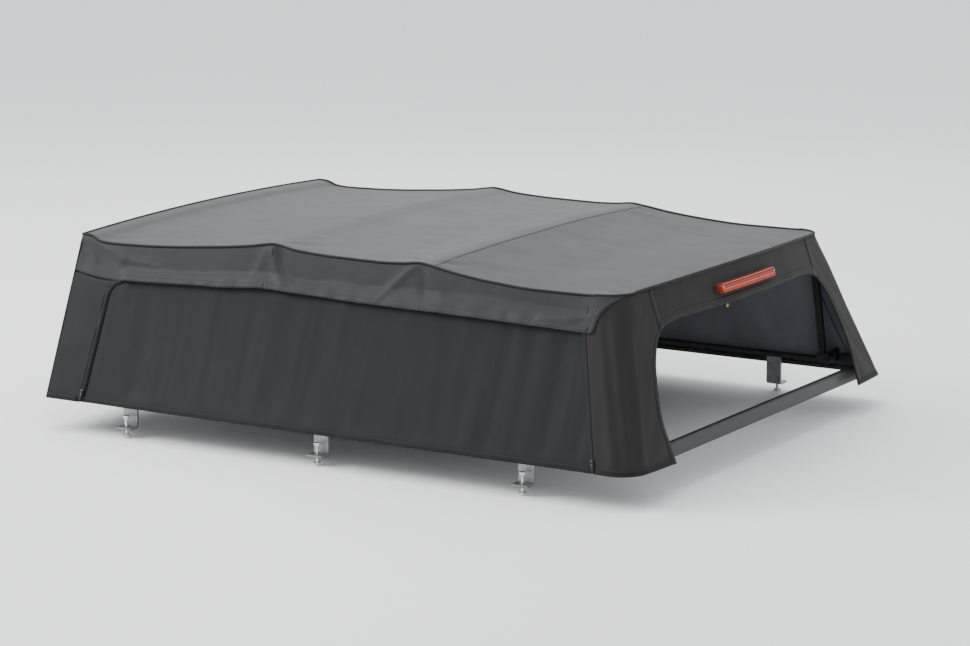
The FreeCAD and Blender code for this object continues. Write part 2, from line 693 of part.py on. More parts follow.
def make_pivot_bracket(label, side):
    """Base on the rail, an upright plate between the two eyes and the pin they turn on."""
    plate_x = eye_middle - S["pivot_spacing"] / 2 - S["bracket_plate"] / 2
    base_high = rail_top + S["bracket_base"]
    base_outer = side_x(base_high, S["bracket_inset"])
    half = S["bracket_length"] / 2
    top_half = S["eye_radius"]
    body = new_body(label)
    start = plate_x if side > 0 else -plate_x - S["bracket_plate"]
    upright = new_sketch(body, "YZ_Plane", f"{label}_upright", start)
    draw_outline(upright, [
        (-half, rail_top), (half, rail_top), (half, base_high),
        (top_half, S["pivot_height"], top_half), (-top_half, S["pivot_height"]), (-half, base_high)])
    pad(body, upright, S["bracket_plate"])
    base = new_sketch(body, "XY_Plane", f"{label}_base", rail_top)
    x_low, x_high = (plate_x, base_outer) if side > 0 else (-base_outer, -plate_x)
    draw_outline(base, [(x_low, -half), (x_high, -half), (x_high, half), (x_low, half)])
    feature = body.newObject("PartDesign::Pad", f"{label}_base_pad")
    feature.Profile = base
    bind(feature, "Length", S["bracket_base"])
    pin_low = eye_middle - S["pivot_spacing"] - S["eye_length"] / 2 - S["side_play"] - S["pin_head"]
    pin_high = eye_middle + S["eye_length"] / 2 + S["side_play"] + S["pin_head"]
    x_from, x_to = (pin_low, pin_high) if side > 0 else (-pin_high, -pin_low)
    circle = new_sketch(body, "YZ_Plane", f"{label}_pin_circle", x_from)
    pad(body, draw_circle(circle, 0, S["pivot_height"], S["pin_radius"]), x_to - x_from)
    add_head(body, f"{label}_first_head", x_from, x_from + S["pin_head"], 0, S["pivot_height"])
    add_head(body, f"{label}_second_head", x_to - S["pin_head"], x_to, 0, S["pivot_height"])
    place(body, 0, S["pivot_y"])
    return body


def square_block(label, middle, y, low, width, height):
    """Upright block, square in plan and drawn in upwards, that a bow's leg ends on."""
    half = width / 2
    points = [(-half, -half), (half, -half), (half, half), (-half, half)]
    body = prism(label, "XY_Plane", points, height, x=middle, y=y, z=low)
    bind(body.Tip, "TaperAngle", -S["foot_taper"])
    return body


def make_front_socket(label, side):
    """Socket on the rail's front end that the front bow's foot stands on."""
    return square_block(label, side * front_hoop.foot_x, front_bow_y, rail_top, S["socket_size"],
                        S["socket_height"])


def make_rear_foot(label, side):
    """Moulded foot of the rear bow, which stands in the latch bracket."""
    return square_block(label, side * rear_hoop.foot_x, rear_bow_y, foot_low, S["foot_size"],
                        S["foot_height"])


latch_wall_y = -(S["foot_size"] / 2) - S["seat_gap"]


def make_latch_bracket(label, side):
    """Shelf on the rail's rear end with a wall behind the rear bow's foot."""
    half = S["foot_size"] / 2
    shelf_low, shelf_high = rail_top, rail_top + S["bracket_base"]
    inner = rear_hoop.foot_x - half
    wall_top = shelf_high + S["latch_wall_height"]
    outer = side_x(wall_top, S["bracket_inset"])
    back = latch_wall_y - S["latch_wall"]
    points = [(back, shelf_low), (half, shelf_low), (half, shelf_high), (latch_wall_y, shelf_high),
              (latch_wall_y, wall_top), (back, wall_top)]
    return prism(label, "YZ_Plane", points, outer - inner, x=inner if side > 0 else -outer, y=rear_bow_y)


def make_latch_knob(label, side):
    """Knob that screws through the wall and holds the foot."""
    middle = side * rear_hoop.foot_x
    height = foot_low + S["foot_height"] / 2
    body = new_body(label)
    sketch = new_sketch(body, "XZ_Plane", f"{label}_outline", -latch_wall_y + S["latch_wall"])
    draw_outline(sketch, even_sides(8, S["knob_width"], middle, height))
    pad(body, sketch, S["knob_length"])
    place(body, 0, rear_bow_y)
    return body


# How far the rear face comes forward for each millimetre of height.
rear_lean = (S["base_rear"] + S["rear_top_y"]) / S["rear_top_edge"]
back_slant = root(1 + rear_lean * rear_lean)


def rear_arc(height):
    """Radius of the rear's bow at a height, and the place of its centre."""
    half = side_x(height)
    share = as_size(height) / S["rear_top_edge"]
    bulge = S["rear_bulge_base"] + (S["rear_bulge_top"] - S["rear_bulge_base"]) * share
    radius = (half * half + bulge * bulge) / (2 * bulge)
    return radius, -S["base_rear"] + rear_lean * height - bulge + radius


def draw_plan(sketch, height, depth, side_out):
    """Plan of the canopy at a height: straight sides, round rear corners and a bowed rear.
    depth counts inward from the outer face of the cloth, or outward when below zero."""
    half = side_x(height, depth)
    outer_radius, middle_y = rear_arc(height)
    radius = outer_radius - as_size(depth) * back_slant
    corner = S["corner_radius"] - depth
    reach = half - corner
    corner_y = middle_y - root((radius - corner) * (radius - corner) - reach * reach)
    grow = radius / (radius - corner)
    touch_x = reach * grow
    touch_y = middle_y + (corner_y - middle_y) * grow
    draw_outline(sketch, [(half, side_out), (-half, side_out), (-half, corner_y, corner),
                          (-touch_x, touch_y, radius), (touch_x, touch_y, corner), (half, corner_y)])
    return sketch


def loft(body, name, sketches, cut=False):
    feature = body.newObject("PartDesign::SubtractiveLoft" if cut else "PartDesign::AdditiveLoft", name)
    feature.Profile = sketches[0]
    feature.Sections = sketches[1:]
    feature.Ruled = True
    for sketch in sketches:
        sketch.Visibility = False
    return feature


seam_base_y = S["seam_base"] - S["base_rear"]
seam_top_y = S["seam_top"] - S["base_rear"]
form_front = seam_top_y + S["corner_radius"]
form_low = S["hem_rise"]
form_high = S["rear_top_edge"] + S["crown"] * 2
plan_high = S["bow_3_edge"] + S["crown"] * 2


def make_band(label, outer, inner):
    """A shell that follows the rear of the canopy, between two depths in the cloth."""
    body = new_body(label)
    pair = [draw_plan(new_sketch(body, "XY_Plane", f"{label}_{name}", height), height, outer, form_front)
            for name, height in (("low", form_low), ("high", form_high))]
    loft(body, f"{label}_outer", pair)
    if inner is not None:
        past = form_front + S["cloth"]
        pair = [draw_plan(new_sketch(body, "XY_Plane", f"{label}_in_{name}", height), height, inner, past)
                for name, height in (("low", form_low), ("high", form_high))]
        loft(body, f"{label}_inner", pair, cut=True)
    place(body)
    return body


def roof_arc(edge, depth):
    """Radius and centre height of the roof's crown, depth below its outer face."""
    radius = roof_radius(edge)
    return radius - depth, edge + S["crown"] - radius


def arc_height(x, radius, centre):
    return centre + root(radius * radius - x * x)


def header_top(x):
    """Height of the header's upper edge at a distance from the middle."""
    radius, centre = roof_arc(S["rear_top_edge"], S["cloth"] + S["layer_gap"])
    return arc_height(as_size(x), radius, centre)


opening_half = S["opening_width"] / 2
header_half = opening_half - S["opening_round"]
view_reach = S["base_rear"] + S["rear_bulge_top"] + S["corner_radius"]


def make_header_region():
    """Front view of the header, between its two seams."""
    radius = roof_arc(S["rear_top_edge"], S["cloth"] + S["layer_gap"])[0]
    half = header_half - S["layer_gap"]
    top = header_top(half)
    low = S["opening_height"]
    points = [(-half, low), (half, low), (half, top, radius), (-half, top)]
    return prism("header_region", "XZ_Plane", points, view_reach)


def make_corner_regions(label, side):
    """Front and side views of one rear corner, from the opening round to the closing seam."""
    wide = half_base + S["corner_radius"]
    low, high = -S["crown"], form_high + S["crown"]
    round_low = S["opening_height"] - S["opening_round"]
    points = [
        (opening_half, low), (wide, low), (wide, high), (header_half, high),
        (header_half, S["opening_height"], -S["opening_round"]), (opening_half, round_low),
    ]
    if side < 0:
        points = flip_outline(points)
    front = prism(f"{label}_front_region", "XZ_Plane", points, view_reach)
    rear = -S["base_rear"] - S["corner_radius"]
    seam_lean = (seam_top_y - seam_base_y) / (S["flap_rear"] - form_low)
    seam = [(seam_base_y + seam_lean * (low - form_low), low), (seam_top_y, S["flap_rear"]),
            (seam_top_y, high), (rear, high), (rear, low)]
    flank = prism(f"{label}_side_region", "YZ_Plane", seam, wide, x=0 if side > 0 else -wide)
    return front, flank


def edge_between(y, first, second):
    """Height of the roof's edge at a place between two stations."""
    run = S[f"{second}_y"] - S[f"{first}_y"]
    return S[f"{first}_edge"] + (S[f"{second}_edge"] - S[f"{first}_edge"]) * ((y - S[f"{first}_y"]) / run)


seam_radius, seam_centre = rear_arc(S["rear_top_edge"])
seam_reach = root(seam_radius * seam_radius - header_half * header_half)
header_seam_y = seam_centre - seam_reach
low_radius, low_centre = rear_arc(S["opening_height"])
low_seam_y = low_centre - root(low_radius * low_radius - header_half * header_half)
# The rear of a corner is flat: it meets the header along the seam, and runs on in its direction.
corner_turn = header_half / seam_reach
corner_rate = (header_seam_y - low_seam_y) / (S["rear_top_edge"] - S["opening_height"])
corner_lean = corner_rate - corner_turn * lean
corner_top = edge_between(seam_top_y, "rear_sag", "rear_top") - S["cloth"] - S["layer_gap"]
turn_slant = root(1 + corner_turn * corner_turn)
corner_slant = root(1 + corner_turn * corner_turn + corner_rate * corner_rate)


def sweep_corner(label, side, depth, front, inner):
    """Block inside the cloth of a rear corner: its plan swept up along the corner's slant."""
    half, radius = side_x(form_low, depth), S["corner_radius"] - depth
    seam_y = header_seam_y - corner_rate * (S["rear_top_edge"] - form_low) + depth * corner_slant
    centre_x = half - radius
    centre_y = seam_y + corner_turn * (centre_x - header_half) + radius * turn_slant
    points = [
        (inner, front), (inner, seam_y + corner_turn * (inner - header_half)),
        (centre_x + radius * corner_turn / turn_slant, centre_y - radius / turn_slant, radius),
        (half, centre_y), (half, front),
    ]
    if side < 0:
        points = flip_outline(points)
    body = new_body(label)
    sketch = draw_outline(new_sketch(body, "XY_Plane", f"{label}_plan", form_low), points)
    feature = pad(body, sketch, corner_top - form_low)
    feature.UseCustomVector = True
    feature.AlongSketchNormal = True
    feature.Direction = FreeCAD.Vector(-side * lean.value, corner_lean.value, 1)
    bind(feature, "Direction.x", -side * lean)
    bind(feature, "Direction.y", corner_lean)
    place(body)
    return body


def make_corner_band(label, side):
    """The cloth round a rear corner, before it is cut to its seams."""
    start = header_half - S["corner_radius"]
    outer = sweep_corner(f"{label}_outer_band", side, as_size(0), form_front, start)
    inner = sweep_corner(f"{label}_inner_band", side, S["cloth"], form_front + S["cloth"],
                         start - S["cloth"])
    return cut_flush(f"{label}_band", outer, [inner])


def flip_outline(points):
    """The outline on the other side of the middle, with its arcs kept between the same corners."""
    count = len(points)
    flipped = []
    for index in range(count - 1, -1, -1):
        before = points[index - 1] if index else points[-1]
        corner = (-as_size(points[index][0]), points[index][1])
        flipped.append(corner + (before[2],) if len(before) == 3 else corner)
    return flipped


def common(label, *shapes):
    item = doc.addObject("Part::MultiCommon", label)
    item.Label = label
    item.Shapes = list(shapes)
    return item


def draw_roof(sketch, edge, flap=None):
    """Section of the roof cloth across the canopy, with its side flaps where flap gives their edge."""
    out_radius = roof_arc(edge, 0)[0]
    in_radius = roof_arc(edge, S["cloth"])[0]
    half = side_x(edge)
    inner_half = side_x(edge - S["cloth"], S["cloth"])
    inner_edge = arc_height(inner_half, *roof_arc(edge, S["cloth"]))
    if flap is None:
        low_edge = arc_height(half, *roof_arc(edge, S["cloth"]))
        points = [(half, edge, out_radius), (-half, edge), (-half, low_edge, -in_radius),
                  (half, low_edge)]
    else:
        flap_out = side_x(flap)
        flap_in = flap_out - cloth_across
        points = [(flap_out, flap), (half, edge, out_radius), (-half, edge), (-flap_out, flap),
                  (-flap_in, flap), (-inner_half, inner_edge, -in_radius), (inner_half, inner_edge),
                  (flap_in, flap)]
    return draw_outline(sketch, points)


def make_roof(label, stations):
    """Roof cloth stretched over its stations: (place along the canopy, edge height, flap edge)."""
    body = new_body(label)
    sketches = [draw_roof(new_sketch(body, "XZ_Plane", f"{label}_{number}", -as_size(y)), edge, flap)
                for number, (y, edge, flap) in enumerate(stations)]
    loft(body, f"{label}_loft", sketches)
    place(body)
    return body


def side_plate(label, side, points, thickness, depth):
    """A flat plate in the slanted side: corners are (place along the canopy, height)."""
    body = new_body(label)
    sketch = new_sketch(body, "YZ_Plane", f"{label}_outline")
    drawn = [(point[0], as_size(point[1]) * slant) + tuple(point[2:]) for point in points]
    draw_outline(sketch, drawn)
    pad(body, sketch, thickness, backwards=side > 0)
    turn = slope_angle(lean, as_size(1))
    turn = -turn if side > 0 else turn
    body.Placement = FreeCAD.Placement(
        FreeCAD.Vector(side * side_x(0, depth).value, 0, S["seat_height"].value),
        FreeCAD.Rotation(FreeCAD.Vector(0, 1, 0), turn.value))
    bind(body, "Placement.Base.x", side * side_x(0, depth))
    bind(body, "Placement.Base.z", S["seat_height"])
    bind(body, "Placement.Rotation.Angle", turn)
    return body


half_gap = S["layer_gap"] / 2
under_cloth = S["cloth"] + S["layer_gap"]


def stations(names, flap, first_shift=0, last_shift=0):
    """Roof stations by name, the first and last moved a little along the canopy."""
    shifts = {names[0]: as_size(first_shift), names[-1]: as_size(last_shift)}
    return [(S[f"{name}_y"] + shifts.get(name, 0), S[f"{name}_edge"], flap) for name in names]


def make_roof_front():
    names = ["front_top", "front_bow", "front_sag", "front_rise", "bow_2"]
    return make_roof("roof_front", stations(names, S["flap_front"], 0, half_gap))


def make_roof_middle():
    names = ["bow_2", "middle_drop", "middle_sag", "bow_3", "bow_3_seam"]
    return make_roof("roof_middle", stations(names, S["flap_mid"], -half_gap, half_gap))


def make_roof_rear():
    """The last stretch of roof, cut to the bowed plan of the rear."""
    names = ["bow_3_seam", "rear_drop", "rear_sag", "rear_top"]
    past = (S["rear_top_y"] - S["rear_bulge_top"] - S["cloth"], S["rear_top_edge"], None)
    raw = make_roof("roof_rear_cloth", stations(names, None, -half_gap, 0) + [past])
    plan = new_body("roof_rear_plan")
    sketches = [draw_plan(new_sketch(plan, "XY_Plane", f"roof_rear_plan_{name}", height), height,
                          as_size(0), S["edge_height"])
                for name, height in (("low", form_low), ("high", plan_high))]
    loft(plan, "roof_rear_plan_loft", sketches)
    place(plan)
    return common("roof_rear", raw, plan)


def make_rear_flap(label, side):
    """Side flap behind the third bow, sewn under the roof's edge."""
    under = S["cloth"] + S["seat_gap"]
    front = S["bow_3_seam_y"] - half_gap
    back = seam_top_y + S["layer_gap"]
    back_edge = edge_between(back, "rear_sag", "rear_top")
    tops = [(S[f"{name}_y"], S[f"{name}_edge"] - under) for name in ("rear_drop", "rear_sag")]
    points = [(back, S["flap_rear"]), (front, S["flap_mid"]), (front, S["bow_3_seam_edge"] - under),
              *tops, (back, back_edge - under)]
    return side_plate(label, side, points, S["cloth"], as_size(0))


strip_base_y = S["base_front"] - S["strip_base"]
strip_top_y = S["base_front"] - S["strip_top"]


def make_front_strip(label, side):
    """Cloth strip down the front end of a side, rounded into the flap."""
    top = S["flap_front"] - S["layer_gap"]
    strip_lean = (strip_base_y - strip_top_y) / (top - S["hem_rise"])
    round_low = top - S["strip_round"]
    round_y = strip_top_y + strip_lean * S["strip_round"]
    points = [
        (strip_base_y, S["hem_rise"]), (S["base_front"], S["hem_rise"]),
        (S["base_front"] - front_lean * top, top),
        (round_y - S["strip_round"], top, -S["strip_round"] * slant), (round_y, round_low),
    ]
    return side_plate(label, side, points, S["cloth"], as_size(0))


def make_side_panel(label, side):
    """Zipped-in side panel, lapped by the flap, the front strip and the rear corner."""
    lap = S["panel_lap"]
    low = S["hem_rise"] + lean * S["cloth"]
    top_front, top_rear = S["flap_mid"] + lap, S["flap_rear"] + lap
    points = [(seam_base_y - lap / 2, low), (strip_base_y + lap, low), (strip_top_y + lap, top_front),
              (S["bow_3_y"], top_front), (seam_top_y - lap / 2, top_rear)]
    return side_plate(label, side, points, S["cloth"], under_cloth)


front_tilt = slope_angle(S["base_front"] - S["front_top_y"], S["front_top_edge"])


def round_box(half, low, high, radius):
    """A box outline with four round corners."""
    return [(-half + radius, low), (half - radius, low, radius), (half, low + radius),
            (half, high - radius, radius), (half - radius, high), (-half + radius, high, radius),
            (-half, high - radius), (-half, low + radius, radius)]


def make_front_panel():
    """Front wall of the canopy, with the hole for its window."""
    low = S["hem_rise"]
    high = S["front_top_edge"] - under_cloth
    low_half = side_x(low, under_cloth)
    high_half = side_x(high, under_cloth)
    radius = roof_arc(S["front_top_edge"], under_cloth)[0]
    body = new_body("front_panel")
    sketch = new_sketch(body, "XZ_Plane", "front_panel_outline")
    draw_outline(sketch, [(-low_half, low), (low_half, low), (high_half, high, radius), (-high_half, high)])
    draw_outline(sketch, round_box(S["window_width"] / 2, S["window_low"], S["window_high"],
                                   S["window_round"]))
    pad(body, sketch, S["cloth"])
    place(body, 0, S["base_front"], 0, front_tilt)
    return body


def make_front_window():
    """Clear sheet sewn behind the hole of the front panel."""
    lap = S["window_lap"]
    points = round_box(S["window_width"] / 2 + lap, S["window_low"] - lap, S["window_high"] + lap,
                       S["window_round"] + lap)
    y = S["base_front"] - S["cloth"] - S["seat_gap"]
    return prism("front_window", "XZ_Plane", points, S["window_sheet"], y=y, tilt=front_tilt)


sill_top = S["sill_rise"] + S["sill_height"]
sill_plate_top = sill_top + S["seat_gap"] + S["sill_plate"]
sill_back = -S["base_rear"] + rear_lean * sill_plate_top + cloth_across + S["sill_gap"]
sill_front = sill_back + S["sill_depth"]


def make_sill_bar():
    """Bar across the rear end, over which the rear cloth closes; its upper edges are eased."""
    half = half_base - S["sill_end"]
    ease = S["sill_ease"]
    points = [(sill_back, S["sill_rise"]), (sill_front, S["sill_rise"]), (sill_front, sill_top - ease),
              (sill_front - ease, sill_top), (sill_back + ease, sill_top), (sill_back, sill_top - ease)]
    return prism("sill_bar", "YZ_Plane", points, half * 2, x=-half)


def make_sill_bracket(label, side):
    """Step bracket from the rail's rear end over the sill bar's end."""
    bar_end = half_base - S["sill_end"]
    outer = side_x(sill_plate_top, under_cloth + S["cloth"] + S["sill_bracket_gap"])
    hold = smaller(rail_inner, outer - S["sill_bracket_width"])
    inner = bar_end - S["sill_lug"]
    rail_end, rail_hold = -rail_rear, S["sill_lug"] - rail_rear
    eased, ease = outer - S["sill_bracket_ease"], rail_end + S["sill_bracket_ease"] * 2
    low = sill_top + S["seat_gap"]
    body = new_body(label)
    points = [(inner, sill_back), (bar_end, sill_back), (eased, rail_end), (outer, ease), (outer, rail_hold),
              (hold, rail_hold), (hold, rail_end), (bar_end, sill_front), (inner, sill_front)]
    plate = draw_outline(new_sketch(body, "XY_Plane", f"{label}_plate", low), mirrored_points(points, side))
    pad(body, plate, S["sill_plate"])
    points = [(hold, rail_end), (eased, rail_end), (outer, ease), (outer, rail_hold), (hold, rail_hold)]
    block = draw_outline(new_sketch(body, "XY_Plane", f"{label}_block", rail_top),
                         mirrored_points(points, side))
    feature = body.newObject("PartDesign::Pad", f"{label}_block_pad")
    feature.Profile = block
    bind(feature, "Length", sill_plate_top - rail_top)
    place(body)
    return body


def make_lamp():
    """Lamp half way up the header: a base that follows the header's bow, and a lens on it."""
    gap, base, lens = S["seat_gap"], S["lamp_base_depth"], S["lens_depth"]
    half, tall, margin = S["lamp_width"] / 2, S["lamp_height"] / 2, S["lens_margin"]
    middle = (S["opening_height"] + S["rear_top_edge"]) / 2
    low, high = middle - tall, middle + tall
    base_band = make_band("lamp_base_band", -(gap + base), -gap)
    lens_band = make_band("lamp_lens_band", -(gap + base + lens), -(gap + base))
    base_view = prism("lamp_base_view", "XZ_Plane", round_box(half, low, high, tall / 2), view_reach)
    lens_outline = round_box(half - margin, low + margin, high - margin, tall / 2)
    lens_view = prism("lamp_lens_view", "XZ_Plane", lens_outline, view_reach)
    common("lamp_base", base_band, base_view)
    common("lamp_lens", lens_band, lens_view)


def make_all():
    """Every piece of the canopy, each under its own label."""
    make_bulkhead_rail()
    make_bulkhead_seal()
    make_folding_bow("bow_2", hoop_2, False)
    make_folding_bow("bow_3", hoop_3, True)
    make_sill_bar()
    make_front_panel()
    make_front_window()
    make_roof_front()
    make_roof_middle()
    make_roof_rear()
    shell = make_band("rear_shell", as_size(0), S["cloth"])
    common("rear_header", shell, make_header_region())
    make_lamp()
    make_front_bow([make_front_socket(f"front_socket_{name}", side) for name, side in SIDES])
    make_rear_bow([make_rear_foot(f"rear_foot_{name}", side) for name, side in SIDES])
    for name, side in SIDES:
        make_belt_rail(f"belt_rail_{name}", side)
        make_rail_seal(f"rail_seal_{name}", side)
        make_pivot_bracket(f"pivot_bracket_{name}", side)
        make_latch_bracket(f"latch_bracket_{name}", side)
        make_latch_knob(f"latch_knob_{name}", side)
        make_sill_bracket(f"sill_bracket_{name}", side)
        make_side_arm(f"side_arm_{name}", side)
        make_front_strip(f"front_strip_{name}", side)
        make_side_panel(f"side_panel_{name}", side)
        make_rear_flap(f"rear_flap_{name}", side)
        band = make_corner_band(f"corner_{name}", side)
        common(f"rear_corner_{name}", band, *make_corner_regions(f"corner_{name}", side))
        for place_name, y in CLAMP_PLACES:
            make_clamp(f"clamp_{name}_{place_name}", side, y)
            make_clamp_bolt(f"clamp_bolt_{name}_{place_name}", side, y)


HELPERS = ("rear_shell", "_region", "_band", "_view", "_cloth", "_plan", "_tube", "_first_cut")


def pieces():
    """The finished pieces: what only shapes them is left out."""
    kinds = ("PartDesign::Body", "Part::MultiCommon", "Part::Cut")
    return [item for item in doc.Objects if item.TypeId in kinds and not item.Label.endswith(HELPERS)]


def check(items):
    for item in doc.Objects:
        if "Invalid" in item.State or "Error" in item.State:
            raise RuntimeError(f"{item.Label} failed: {item.State}")
    for item in items:
        if item.Shape.isNull() or not item.Shape.isValid() or len(item.Shape.Solids) != 1:
            raise RuntimeError(f"{item.Label} isn't one valid solid")


def export(items):
    os.makedirs("parts", exist_ok=True)
    for item in items:
        item.Shape.exportStep(f"parts/{item.Label}.step")
    print(len(items), "pieces written")


make_all()
doc.recompute()
finished = pieces()
check(finished)
export(finished)
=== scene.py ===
import json
import math

import bmesh
import bpy
from mathutils import Matrix, Vector, noise


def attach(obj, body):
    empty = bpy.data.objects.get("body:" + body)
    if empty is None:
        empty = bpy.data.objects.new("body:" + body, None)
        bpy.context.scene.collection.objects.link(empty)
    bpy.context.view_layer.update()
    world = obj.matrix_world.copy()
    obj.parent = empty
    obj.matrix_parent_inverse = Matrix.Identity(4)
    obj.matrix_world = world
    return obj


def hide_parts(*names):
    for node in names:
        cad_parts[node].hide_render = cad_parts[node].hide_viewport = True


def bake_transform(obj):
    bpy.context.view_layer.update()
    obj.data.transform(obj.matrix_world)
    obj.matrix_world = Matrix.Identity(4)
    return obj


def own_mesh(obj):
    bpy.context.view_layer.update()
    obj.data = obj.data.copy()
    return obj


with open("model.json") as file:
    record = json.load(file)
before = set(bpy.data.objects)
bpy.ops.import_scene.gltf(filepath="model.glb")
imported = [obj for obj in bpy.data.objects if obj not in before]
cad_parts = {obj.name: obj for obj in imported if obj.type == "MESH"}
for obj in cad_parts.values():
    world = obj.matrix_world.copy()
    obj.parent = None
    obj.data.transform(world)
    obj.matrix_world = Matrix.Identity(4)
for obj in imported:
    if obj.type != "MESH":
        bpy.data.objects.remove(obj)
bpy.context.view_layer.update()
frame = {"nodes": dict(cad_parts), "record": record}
SIDES = [("left", -1), ("right", 1)]

# Form of the canopy, in metres. Heights count from the seat of the rails.

SEAT = 0.084
HALF_BASE = 0.745
LEAN = 0.39545
BASE_FRONT, FRONT_TOP = 0.9145, 0.907
BASE_REAR, REAR_TOP = 0.8986, -0.7636
FRONT_EDGE, REAR_EDGE = 0.428, 0.414
FRONT_HALF, REAR_HALF = 0.5758, 0.581
REAR_LEAN = (BASE_REAR + REAR_TOP) / REAR_EDGE
FRONT_LEAN = (BASE_FRONT - FRONT_TOP) / FRONT_EDGE
CROWN = 0.014
CORNER = 0.075
BOW_2, BOW_3, ROOF_SEAM = 0.279, -0.178, -0.213
HEADER_HALF = 0.455
HEM_RISE = 0.0015
CLOTH = 0.003

# Edge of the roof along the side: place along the canopy, height.
EDGE_LINE = [(-0.80, 0.414), (-0.7636, 0.414), (-0.66, 0.4115), (-0.5316, 0.411), (-0.40, 0.418),
             (-0.293, 0.429), (-0.213, 0.4415), (-0.178, 0.4455), (-0.13, 0.4405), (-0.053, 0.437),
             (0.08, 0.438), (0.207, 0.444), (0.262, 0.4525), (0.279, 0.454), (0.300, 0.4515),
             (0.345, 0.444), (0.43, 0.434), (0.52, 0.426), (0.607, 0.419), (0.72, 0.4135),
             (0.80, 0.412), (0.841, 0.4145), (0.873, 0.4265), (0.893, 0.4285), (0.907, 0.428)]
# Crease across the side flap, under which it kicks outward, and the flap's hem.
CREASE_LINE = [(-0.80, 0.375), (-0.72, 0.370), (-0.60, 0.376), (-0.50, 0.380), (-0.296, 0.383),
               (-0.095, 0.377), (0.011, 0.373), (0.103, 0.3745), (0.19, 0.373), (0.244, 0.380),
               (0.291, 0.382), (0.36, 0.376), (0.44, 0.370), (0.515, 0.361), (0.631, 0.357),
               (0.741, 0.359), (0.80, 0.354), (0.84, 0.358), (0.907, 0.37)]
HEM_LINE = [(-0.80, 0.320), (-0.72, 0.3225), (-0.53, 0.325), (-0.41, 0.3275), (-0.30, 0.329),
            (-0.16, 0.330), (0.00, 0.332), (0.093, 0.335), (0.20, 0.337), (0.280, 0.340),
            (0.36, 0.335), (0.43, 0.330), (0.506, 0.328), (0.622, 0.323), (0.75, 0.3195),
            (0.82, 0.322), (0.907, 0.334)]
# Folds in the flap: start and end (place along the canopy, height), width, rise out of the cloth.
FLAP_FOLDS = [
    ((0.283, 0.452), (0.262, 0.392), 0.0085, 0.0072),
    ((0.262, 0.392), (0.222, 0.352), 0.0100, 0.0060),
    ((0.262, 0.448), (0.228, 0.392), 0.0110, -0.0060),
    ((0.228, 0.392), (0.190, 0.372), 0.0100, -0.0035),
    ((0.290, 0.446), (0.332, 0.356), 0.0150, 0.0034),
    ((0.222, 0.352), (0.120, 0.352), 0.0110, 0.0034),
    ((-0.172, 0.442), (-0.100, 0.376), 0.0100, 0.0062),
    ((-0.100, 0.376), (-0.072, 0.336), 0.0120, 0.0048),
    ((-0.190, 0.438), (-0.210, 0.356), 0.0120, -0.0046),
    ((-0.184, 0.440), (-0.266, 0.366), 0.0120, 0.0040),
    ((-0.266, 0.366), (-0.350, 0.350), 0.0110, 0.0026),
    ((0.898, 0.420), (0.842, 0.364), 0.0085, 0.0058),
    ((0.892, 0.410), (0.806, 0.350), 0.0100, -0.0046),
    ((0.887, 0.424), (0.750, 0.376), 0.0100, 0.0042),
    ((0.895, 0.400), (0.872, 0.345), 0.0085, -0.0040),
    ((0.750, 0.376), (0.640, 0.366), 0.0095, 0.0028),
    ((-0.830, 0.416), (-0.700, 0.358), 0.0120, 0.0052),
    ((-0.820, 0.402), (-0.640, 0.334), 0.0100, -0.0034),
    ((-0.700, 0.358), (-0.560, 0.344), 0.0110, 0.0036),
    ((0.100, 0.374), (0.010, 0.368), 0.0075, 0.0030),
    ((0.620, 0.356), (0.500, 0.352), 0.0085, 0.0026),
    ((-0.330, 0.382), (-0.460, 0.374), 0.0090, 0.0030),
]


def smooth_line(points):
    """Monotone cubic through the points: no overshoot between them, level at peaks and sags."""
    runs = [(b[0] - a[0], (b[1] - a[1]) / (b[0] - a[0])) for a, b in zip(points, points[1:])]
    slopes = [runs[0][1]]
    for (run_a, slope_a), (run_b, slope_b) in zip(runs, runs[1:]):
        if slope_a * slope_b <= 0:
            slopes.append(0.0)
        else:
            first, second = 2 * run_b + run_a, run_b + 2 * run_a
            slopes.append((first + second) / (first / slope_a + second / slope_b))
    slopes.append(runs[-1][1])

    def height(place):
        place = min(max(place, points[0][0]), points[-1][0])
        number = max(i for i in range(len(runs)) if points[i][0] <= place)
        (start, low), (run, _) = points[number], runs[number]
        t = (place - start) / run
        high = points[number + 1][1]
        return (low * (1 + 2 * t) * (1 - t) ** 2 + slopes[number] * run * t * (1 - t) ** 2
                + high * t * t * (3 - 2 * t) + slopes[number + 1] * run * t * t * (t - 1))

    return height


edge_height = smooth_line(EDGE_LINE)
crease_height = smooth_line(CREASE_LINE)
hem_height = smooth_line(HEM_LINE)


def ease(t):
    t = min(max(t, 0.0), 1.0)
    return t * t * (3 - 2 * t)


def ripple(x, y, z, scale, seed=0.0):
    return noise.noise(Vector((x * scale + seed, y * scale + seed * 1.7, z * scale)))


def fold_rise(place, height, folds):
    """Rise of the named folds at a place: each one swells and dies away along its line."""
    rise = 0.0
    for start, end, width, peak in folds:
        along = (end[0] - start[0], end[1] - start[1])
        length2 = along[0] ** 2 + along[1] ** 2
        t = ((place - start[0]) * along[0] + (height - start[1]) * along[1]) / length2
        near = min(max(t, 0.0), 1.0)
        gap2 = (place - start[0] - near * along[0]) ** 2 + (height - start[1] - near * along[1]) ** 2
        if gap2 < (4 * width) ** 2:
            rise += peak * math.exp(-(gap2 / width ** 2) ** 0.75) * (0.55 + 0.45 * math.sin(math.pi * near))
    return rise


# Plan of the canopy at a height: straight leaning sides, round rear corners, a bowed rear.

